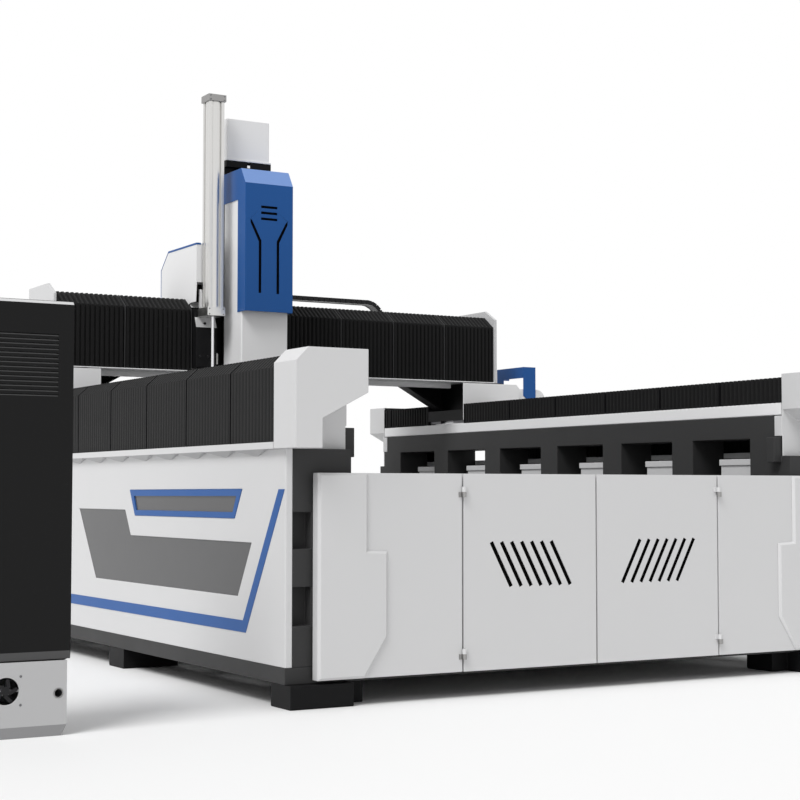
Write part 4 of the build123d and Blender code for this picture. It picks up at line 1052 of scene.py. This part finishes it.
@dataclass
class Walls:
    """Side walls, skins, ledges, caps and rails."""

    apron_top_mm: float = 1196.9

    def build(self) -> None:
        """Builds the fixed side structure."""
        from_cad("base_frame", Finishes.DARK_FRAME, Edge.PLATE)
        from_cad("levelling_feet", Finishes.BLACK, Edge.PLATE)
        from_cad("side_frames", Finishes.DARK_FRAME, Edge.PLATE)
        from_cad("wall_boxes", Finishes.LIGHT_GREY, Edge.PLATE)
        from_cad("side_skins", Finishes.WHITE, Edge.PLATE)
        dress("window_panes", Finishes.PANE)
        dress("trim_stripes", Finishes.BLUE)
        # The apron under the ledges is painted grey as its shade.
        apron = (Finishes.APRON_SHADE, lambda c, n: c.z < self.apron_top_mm)
        from_cad("side_ledges", Finishes.WHITE, Edge.CRISP, (apron,))
        from_cad("end_caps", Finishes.WHITE, Edge.FOLDED)
        # The rail beams lie in the covers' shade; the lighter white paints light onto them.
        from_cad("rail_beams", Finishes.LIT_WHITE, Edge.SHEET)
        dress("y_rails", Finishes.STEEL)
        from_cad("work_table", Finishes.CAST_TABLE, Edge.SHEET)


@dataclass
class FrontAndRear:
    """Panels, doors and their hinges."""

    vent_half_mm: float = 290.0
    vent_low_mm: float = 460.0
    vent_high_mm: float = 820.0
    backing_mm: Point = (12.0, 15.0)

    def build(self) -> None:
        """Builds the panels and hangs the doors."""
        from_cad("front_panels", Finishes.WHITE, Edge.SHEET)
        from_cad("corner_plates", Finishes.WHITE, Edge.FOLDED)
        from_cad("rear_panel", Finishes.WHITE, Edge.SHEET)
        dress("door_hinges", Finishes.HEAD_METAL)
        for side in ("left", "right"):
            from_cad(f"door_{side}", Finishes.WHITE, Edge.CRISP)
            self.vent_backing(side)

    def vent_backing(self, side: str) -> None:
        """Adds the sheet behind a door's vent slots, black to the front as painted shade inside the slots.

        Args:
            side: the door's side.
        """
        low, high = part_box(f"door_{side}")
        middle, half = (low.x + high.x) / 2 * 1000, self.vent_half_mm
        outline = rectangle(middle - half, self.vent_low_mm, middle + half, self.vent_high_mm)
        finishes = [Finishes.WHITE, Finishes.SHADOW]
        slab = (Axis.Y, outline, *self.backing_mm)
        piece = slab_piece(f"door_{side}_vent_backing", finishes, f"door_{side}_body", "white_paint", slab)
        # The front faces are black as painted shade inside the vent slots.
        finish_second(piece, lambda n: n.y < FRONTAL)


@dataclass
class Gantry:
    """Beam, legs, carriages and drives."""

    flange_top_mm: float = 1811.0

    def build(self) -> None:
        """Builds the gantry's rigid pieces."""
        # Painted light: the beam's lower flange lies in the beam's shade and takes the lighter white.
        flange = (Finishes.LIT_WHITE, lambda c, n: c.z < self.flange_top_mm)
        from_cad("gantry_beam", Finishes.BEAM_GREY, Edge.PLATE, (flange,))
        dress("x_rails", Finishes.STEEL_ACROSS)
        from_cad("beam_caps", Finishes.LIGHT_GREY, Edge.PLATE)
        from_cad("gantry_legs", Finishes.BLACK, Edge.PLATE)
        # The leg covers and the drives take the lighter white as painted light.
        from_cad("leg_covers", Finishes.LIT_WHITE, Edge.SHEET)
        dress("y_carriages", Finishes.BLUED_STEEL)
        from_cad("y_drives", Finishes.LIT_WHITE, Edge.PLATE)
        from_cad("chain_arch", Finishes.BLUE, Edge.CUT)
        from_cad("chain_trough", Finishes.LIGHT_GREY, Edge.CUT)
        dress("y_pinions", Finishes.STEEL)


@dataclass
class Saddle:
    """Saddle, Z column, hood and balance cylinder."""

    hood_side_mm: float = -741.0
    hood_front_mm: float = 3412.0
    hood_top_mm: float = 2665.0
    hood_shoulder_mm: Point = (3900.0, 2544.0)
    hood_rear_mm: float = 4032.0
    hood_low_mm: float = 2262.0
    top_trim_mm: float = 13.0
    rear_trim_mm: float = 6.0
    front_trim_mm: float = 30.0
    trim_stand_mm: float = 1.5
    fillet_top_mm: float = 2400.0
    fillet_rear_mm: float = 3530.0
    fillet_lead_mm: Point = (14.0, 6.0)
    fillet_sheet_mm: Point = (0.6, 5.4)
    wing_front_mm: float = 3425.0
    wing_slope_mm: float = 2090.0
    slope_up: float = 0.2
    wing_bolts_mm: tuple[Place, ...] = ((-707, 0, 1902), (-649, 0, 1902), (-670, 9, 2125))
    lower_head_mm: float = 3000.0
    cylinder_mm: Point = (-649.5, 3286.0)
    head_bolt_half_mm: float = 50.0
    head_bolt_levels_mm: tuple[float, ...] = (2176.0, 2212.0, 3620.0, 3646.0)
    arm_mm: tuple[Point, ...] = ((3404, 2226), (3440, 2226), (3440, 2352), (3418, 2352), (3404, 2320))
    arm_foot_mm: tuple[float, ...] = (3404, 2226, 3440, 2300)
    arm_sides_mm: tuple[float, ...] = (-712, -690, -650)
    rod_fitting_mm: tuple[Point, ...] = ((-566, 1858), (-547, 1858), (-547, 1926), (-552, 1934), (-566, 1934))
    rod_fitting_depth_mm: Point = (3484, 3510)

    def build(self) -> None:
        """Builds the cross carriage."""
        # The wing's slanted top takes light grey as a painted highlight.
        from_cad("saddle", Finishes.BLACK, Edge.SHEET, ((Finishes.LIGHT_GREY, self.on_wing_slope),))
        dress("saddle_carriages", Finishes.STEEL)
        from_cad("z_column", Finishes.BLACK, Edge.SHEET)
        # The hood, the motor cover and the corner fillet take the lighter white as painted light.
        from_cad("carriage_hood", Finishes.LIT_WHITE, Edge.SHEET)
        from_cad("cylinder_barrel", Finishes.ALUMINIUM, Edge.DRAWN)
        lower_head = (Finishes.ALUMINIUM, lambda c, n: c.z < self.lower_head_mm)
        from_cad("cylinder_heads", Finishes.HEAD_METAL, Edge.SHEET, (lower_head,))
        from_cad("motor_plate", Finishes.BLACK, Edge.SHEET)
        from_cad("motor_cover", Finishes.LIT_WHITE, Edge.SHEET)
        dress("z_screw", Finishes.CHROME)
        dress("x_pinion", Finishes.STEEL)
        self.hood_trim()
        self.fittings()

    def on_wing_slope(self, centre: Vector, normal: Vector) -> bool:
        """Tells whether a face is the slanted top of the wing, which is painted light grey as a highlight."""
        return normal.y < FRONTAL and normal.z > self.slope_up and centre.z > self.wing_slope_mm

    def hood_trim(self) -> None:
        """Adds the blue edge of the hood and the white fillet under its front corner."""
        side, front, top, low = self.hood_side_mm, self.hood_front_mm, self.hood_top_mm, self.hood_low_mm
        shoulder, proud = self.hood_shoulder_mm, self.trim_stand_mm
        edge = [(front, top), (shoulder[0], top), (self.hood_rear_mm, shoulder[1]), (self.hood_rear_mm, low)]
        inner = inset_outline(edge, [self.top_trim_mm, self.rear_trim_mm, self.rear_trim_mm])
        strip = rectangle(side - proud, top - self.top_trim_mm, side + self.front_trim_mm, top)
        slab_piece(
            "hood_blue_edge",
            [Finishes.BLUE],
            "saddle_body",
            "blue_paint",
            (Axis.X, edge + inner[::-1], side - proud, side),
            (Axis.Y, strip, front - proud, front),
        )
        rear, lead, lift = self.fillet_rear_mm, *self.fillet_lead_mm
        upper = [(front, self.fillet_top_mm), (rear, self.fillet_top_mm)]
        fillet = [*upper, (rear, low + lift), (front + lead, low + lift)]
        slab = (Axis.X, fillet, *(side + depth for depth in self.fillet_sheet_mm))
        piece = slab_piece("hood_corner_fillet", [Finishes.LIT_WHITE], "saddle_body", "white_paint", slab)
        soften(piece, Edge.CUT)

    def fittings(self) -> None:
        """Adds the cylinder bracket, the bolts and the small fitting beside the rod."""
        left, middle, right = self.arm_sides_mm
        arm = (Axis.X, self.arm_mm, left, middle)
        foot = (Axis.X, rectangle(*self.arm_foot_mm), middle, right)
        piece = slab_piece("cylinder_bracket", [Finishes.LIGHT_GREY], "saddle_body", "grey_paint", arm, foot)
        soften(piece, Edge.CAST)
        wing = [row(x, self.wing_front_mm + behind, z) for x, behind, z in self.wing_bolts_mm]
        BoltSet("wing_bolts", "saddle_body", wing, Finishes.CHAIN).build()
        x, y = self.cylinder_mm
        across = (x - self.head_bolt_half_mm, x + self.head_bolt_half_mm)
        heads = [row(place, y, z) for place in across for z in self.head_bolt_levels_mm]
        BoltSet("cylinder_head_bolts", "saddle_body", heads, head_mm=5.0, height_mm=3.0).build()
        slab = (Axis.Y, self.rod_fitting_mm, *self.rod_fitting_depth_mm)
        finishes = [Finishes.ALUMINIUM]
        piece = slab_piece("rod_side_fitting", finishes, "saddle_body", "extruded_aluminium", slab)
        soften(piece, Edge.SHEET)


@dataclass
class Ram:
    """Ram, its blue cover and the five-axis head."""

    chamfer_up: float = 0.3
    backing_mm: tuple[float, ...] = (-511.0, 2290.0, -191.0, 2920.0)
    backing_depth_mm: Point = (3112.0, 3114.0)

    def build(self) -> None:
        """Builds what moves along Z and the head."""
        # The ram takes the lighter white as painted light.
        from_cad("ram", Finishes.LIT_WHITE, Edge.CAST)
        dress("z_rails", Finishes.STEEL)
        # The cover's up-facing chamfer gets the lighter blue as a painted highlight.
        chamfer = (Finishes.LIT_BLUE, lambda c, n: n.y < FRONTAL and n.z > self.chamfer_up)
        from_cad("ram_cover", Finishes.BLUE, Edge.CRISP, (chamfer,))
        dress("balance_rod", Finishes.CHROME)
        dress("head_flange", Finishes.STEEL)
        from_cad("swivel_fork", Finishes.WHITE, Edge.FOLDED)
        from_cad("spindle_body", Finishes.ALUMINIUM, Edge.CUT)
        dress("tool_holder", Finishes.CHROME)
        # Painted shade: a black sheet behind the cover's slots stands for the dark inside the ram.
        slab = (Axis.Y, rectangle(*self.backing_mm), *self.backing_depth_mm)
        slab_piece("cover_slot_backing", [Finishes.SHADOW], "ram_body", "blue_paint", slab)


@dataclass
class SupplyChain:
    """Chain of links over the beam, with its bend and lower run."""

    pitch_mm: float = 45.0
    gap_mm: float = 4.0
    side_mm: float = 10.0
    hollow_mm: float = 3.0
    underside_down: float = -0.6
    front_mm: float = field(init=False)
    rear_mm: float = field(init=False)
    tall_mm: float = field(init=False)

    def __post_init__(self) -> None:
        """Takes the chain's width and height from its CAD run."""
        low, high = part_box("chain_run")
        self.front_mm = (low.y - FRONT_PLANE) * 1000
        self.rear_mm = (high.y - FRONT_PLANE) * 1000
        self.tall_mm = (high.z - low.z) * 1000

    def add_link(self, shape: Mesh, centre: Point, angle: float, pitch: float) -> None:
        """Adds one link, two side plates joined by a narrower core.

        Args:
            shape: the bmesh.
            centre: its middle along X and Z, in millimetres.
            angle: the direction it points in, in radians.
            pitch: its length.
        """
        cos, sin = math.cos(angle) / 2, math.sin(angle) / 2
        inner_front, inner_rear = self.front_mm + self.side_mm, self.rear_mm - self.side_mm

        def turned(length: float, height: float) -> list[Point]:
            """Corners of a rectangle that lies along the link."""
            corners = rectangle(-length, -height, length, height)
            return [(centre[0] + u * cos - v * sin, centre[1] + u * sin + v * cos) for u, v in corners]

        plate = turned(pitch - self.gap_mm, self.tall_mm)
        core = turned(pitch, self.tall_mm - 2 * self.hollow_mm)
        add_slab(shape, Axis.Y, plate, self.front_mm, inner_front)
        add_slab(shape, Axis.Y, plate, inner_rear, self.rear_mm)
        add_slab(shape, Axis.Y, core, inner_front, inner_rear)

    def add_run(self, shape: Mesh, left: float, right: float, level: float) -> None:
        """Adds a straight run of links.

        Args:
            shape: the bmesh.
            left: where it starts along X, in millimetres.
            right: where it ends.
            level: its middle along Z.
        """
        count = round((right - left) / self.pitch_mm)
        pitch = (right - left) / count
        for i in range(count):
            self.add_link(shape, (left + (i + 0.5) * pitch, level), 0.0, pitch)

    def finish(self, name: str, shape: Mesh, body: str | None, node: str) -> Piece:
        """Gives the links their finishes, with the undersides paler.

        Args:
            name: the piece's name.
            shape: the links.
            body: the body they ride on, or None for no body.
            node: the CAD node they stand for.

        Returns:
            The links as one piece.
        """
        finishes = [Finishes.CHAIN, Finishes.CHAIN_SIDE]
        piece = finish_object(name, shape, finishes, body, node)
        finish_second(piece, lambda n: n.z < self.underside_down)
        return piece

    def build(self) -> None:
        """Builds the upper run, and the bend with the lower run."""
        low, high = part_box("chain_run")
        right, middle = high.x * 1000, (low.z + high.z) * 500
        shape = bmesh.new()
        self.add_run(shape, low.x * 1000, right, middle)
        run = self.finish("chain_run_links", shape, None, "chain_run")
        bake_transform(run)

        bend_low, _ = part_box("chain_bend")
        floor = bend_low.z * 1000 + self.tall_mm / 2
        radius = (middle - floor) / 2
        shape = bmesh.new()
        count = round(math.pi * radius / self.pitch_mm)
        for i in range(count):
            turn = math.pi / 2 - math.pi * (i + 0.5) / count
            spot = (right + radius * math.cos(turn), floor + radius + radius * math.sin(turn))
            self.add_link(shape, spot, turn - math.pi / 2, 2 * radius * math.tan(math.pi / 2 / count))
        self.add_run(shape, bend_low.x * 1000, right, floor)
        self.finish("chain_bend_links", shape, "chain_body", "chain_bend")


@dataclass
class Cabinet:
    """Free-standing control cabinet."""

    door_front_mm: float = -200.0
    sheet_mm: float = 1.0
    skirt_top_mm: float = 346.0
    skirt_down: float = -0.1
    lip_lean: float = 0.3
    louvre_count: int = 14
    louvre_low_mm: float = 1395.0
    louvre_high_mm: float = 1645.0
    louvre_sides_mm: Point = (-3331.0, -2921.0)
    blade_mm: tuple[Point, ...] = ((7.8, -1.0), (1.2, -4.2), (1.2, -1.2), (7.8, 2.0))
    fold_low_mm: float = 1775.0
    fold_back_mm: float = 12.0
    fold_front: float = -0.3
    fold_up: float = 0.2
    foot_strip_mm: float = 45.0
    foot_taper_mm: float = 24.0
    screws_x_mm: Point = (-3187.0, -3065.0)
    screws_z_mm: Point = (134.0, 249.0)
    gland_mm: Place = (-2906.0, -196.0, 173.0)
    gland_profile_mm: tuple[Point, ...] = ((17, 0), (24, 0), (24, -2), (21, -4), (17, -4))
    gland_sides: int = 28

    def build(self) -> None:
        """Builds the cabinet."""
        from_cad("cabinet_body", Finishes.CABINET_BLACK, Edge.WIDE)
        self.door()
        self.base()
        dress("cabinet_hinges", Finishes.BLACK)
        dress("fan_rotor", Finishes.CHAIN)
        spots = [row(x, self.door_front_mm, z) for x in self.screws_x_mm for z in self.screws_z_mm]
        BoltSet("base_screws", "machine", spots, head_mm=6.0, height_mm=0.1).build()
        shape = bmesh.new()
        add_turned(shape, row(*self.gland_mm), self.gland_profile_mm, self.gland_sides, closed=True)
        finish_object("gland_ring", shape, [Finishes.ALUMINIUM], "machine")

    def is_skirt(self, centre: Vector, normal: Vector) -> bool:
        """Tells whether a face is the door's slanted lower edge, which takes the painted highlight."""
        return centre.z < self.skirt_top_mm and normal.y < FRONTAL and normal.z < self.skirt_down

    def is_lip(self, centre: Vector, normal: Vector) -> bool:
        """Tells whether a face is the lip of a louvre, which takes the painted highlight.

        Args:
            centre: the face's middle, in millimetres.
            normal: its normal.

        Returns:
            True for a lip.
        """
        behind = centre.y > row_y(self.door_front_mm) + self.sheet_mm
        level = self.louvre_low_mm < centre.z < self.louvre_high_mm + 1
        return behind and level and abs(normal.z) > self.lip_lean

    def door(self) -> None:
        """Builds the door, with its louvre blades and its folded top edge, and paints highlights on its skirt,
        louvre lips and blades.
        """
        # The painted highlight on the skirt, the louvre lips and the blades.
        grey = Finishes.LOUVRE_HIGHLIGHT
        zones = ((grey, self.is_skirt), (grey, self.is_lip))
        door = from_cad("cabinet_door", Finishes.CABINET_BLACK, Edge.SHEET, zones, self.fold_low_mm)
        self.fold_top_edge(door.data)
        blades = []
        for i in range(self.louvre_count):
            share = i * (self.louvre_high_mm - self.louvre_low_mm) / (self.louvre_count - 1)
            level = self.louvre_low_mm + share
            blade = [(self.door_front_mm + y, level + z) for y, z in self.blade_mm]
            blades.append((Axis.X, blade, *self.louvre_sides_mm))
        slab_piece("cabinet_louvre_blades", [grey], "cabinet_door_body", "black_paint", *blades)

    def fold_top_edge(self, mesh: bpy.types.Mesh) -> None:
        """Leans the door's top edge back and paints it light grey as the highlight on the fold.

        Args:
            mesh: the door's mesh, cut at the fold.
        """
        sheet = (row_y(self.door_front_mm) + self.sheet_mm) / 1000
        # The light grey on the fold is a painted highlight.
        mesh.materials.append(Finishes.LIGHT_GREY.material())
        for vert in mesh.vertices:
            if vert.co.y < sheet and vert.co.z > (self.fold_low_mm + 1) / 1000:
                vert.co.y += self.fold_back_mm / 1000
        mesh.update()
        for face in mesh.polygons:
            slanted = face.normal.y < self.fold_front and face.normal.z > self.fold_up
            if slanted and face.center.z > self.fold_low_mm / 1000:
                face.material_index = len(mesh.materials) - 1

    def base(self) -> None:
        """Builds the plinth, whose foot strip draws in towards the floor and is painted darker as the shade
        under the plinth.
        """
        # The foot strip is painted darker as the shade under the plinth.
        strip = (Finishes.FOOT_SHADE, lambda c, n: c.z < self.foot_strip_mm)
        base = from_cad("cabinet_base", Finishes.PLINTH_GREY, Edge.SHEET, (strip,), self.foot_strip_mm)
        low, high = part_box("cabinet_base")
        middle = (low.x + high.x) / 2
        for vert in base.data.vertices:
            if vert.co.z < ON_FLOOR:
                vert.co.x += math.copysign(self.foot_taper_mm, middle - vert.co.x) / 1000


@dataclass
class Studio:
    """Floor, light and camera."""

    camera_place: Place = (-5.187, -9.2125, 1.0)
    tilt_deg: float = 93.13
    pan_deg: float = -30.43
    lens_mm: float = 74.97
    sensor_mm: float = 36.0
    far_clip: float = 200.0
    floor_size: float = 120.0
    floor_colour: tuple[float, ...] = (0.86, 0.86, 0.86, 1)
    floor_roughness: float = 0.7
    sun_strength: float = 2.3
    sun_width_deg: float = 28.0
    sun_direction: Place = (0.50, 0.24, -0.72)
    sky_strength: float = 0.55

    def floor(self) -> None:
        """Lays the pale floor."""
        bpy.ops.mesh.primitive_plane_add(size=self.floor_size, location=(0, 0, 0))
        floor = bpy.context.object
        floor.name = "studio_floor"
        material = bpy.data.materials.new("studio_floor")
        material.use_nodes = True
        shader = material.node_tree.nodes["Principled BSDF"]
        shader.inputs["Base Color"].default_value = self.floor_colour
        shader.inputs["Roughness"].default_value = self.floor_roughness
        floor.data.materials.append(material)

    def sky(self) -> None:
        """Sets a plain sky that the camera sees as white."""
        world = bpy.data.worlds.new("studio_sky")
        bpy.context.scene.world = world
        world.use_nodes = True
        tree = world.node_tree
        tree.nodes.clear()
        result = shader_node(tree, "OutputWorld")
        white = (1, 1, 1, 1)
        light = shader_node(tree, "Background", {"Color": white, "Strength": self.sky_strength})
        seen = shader_node(tree, "Background", {"Color": white, "Strength": 1.0})
        rays = shader_node(tree, "LightPath")
        either = shader_node(tree, "Math", operation="MAXIMUM")
        also = shader_node(tree, "Math", operation="MAXIMUM")
        mix = shader_node(tree, "MixShader")
        wire(
            tree,
            (rays, "Is Camera Ray", either, 0),
            (rays, "Is Glossy Ray", either, 1),
            (either, 0, also, 0),
            (rays, "Is Transmission Ray", also, 1),
            (also, 0, mix, 0),
            (light, 0, mix, 1),
            (seen, 0, mix, 2),
            (mix, 0, result, "Surface"),
        )

    def lamp(self) -> None:
        """Hangs the soft key light up and to the left."""
        lamp = bpy.data.lights.new("soft_key", "SUN")
        lamp.energy = self.sun_strength
        lamp.angle = math.radians(self.sun_width_deg)
        holder = bpy.data.objects.new("soft_key", lamp)
        bpy.context.scene.collection.objects.link(holder)
        holder.rotation_euler = Vector(self.sun_direction).to_track_quat("-Z", "Y").to_euler()

    def camera(self) -> None:
        """Stands the camera at the photograph's viewpoint."""
        lens = bpy.data.cameras.new("viewpoint")
        lens.lens = self.lens_mm
        lens.sensor_width = self.sensor_mm
        lens.clip_end = self.far_clip
        stand = bpy.data.objects.new("viewpoint", lens)
        bpy.context.scene.collection.objects.link(stand)
        stand.location = self.camera_place
        stand.rotation_euler = (math.radians(self.tilt_deg), 0, math.radians(self.pan_deg))
        bpy.context.scene.camera = stand

    def build(self) -> None:
        """Sets the whole studio."""
        self.floor()
        self.sky()
        self.lamp()
        self.camera()
        bpy.context.scene.view_settings.view_transform = "Standard"


def main() -> None:
    """Builds every sub-assembly in order, then the studio."""
    logging.basicConfig(level=logging.INFO, format="%(name)s %(message)s")
    for part in (Walls, FrontAndRear, SideCovers, BeamCovers, Gantry, Saddle, Ram, SupplyChain, Cabinet, Studio):
        part().build()


if __name__ == "__main__":
    main()
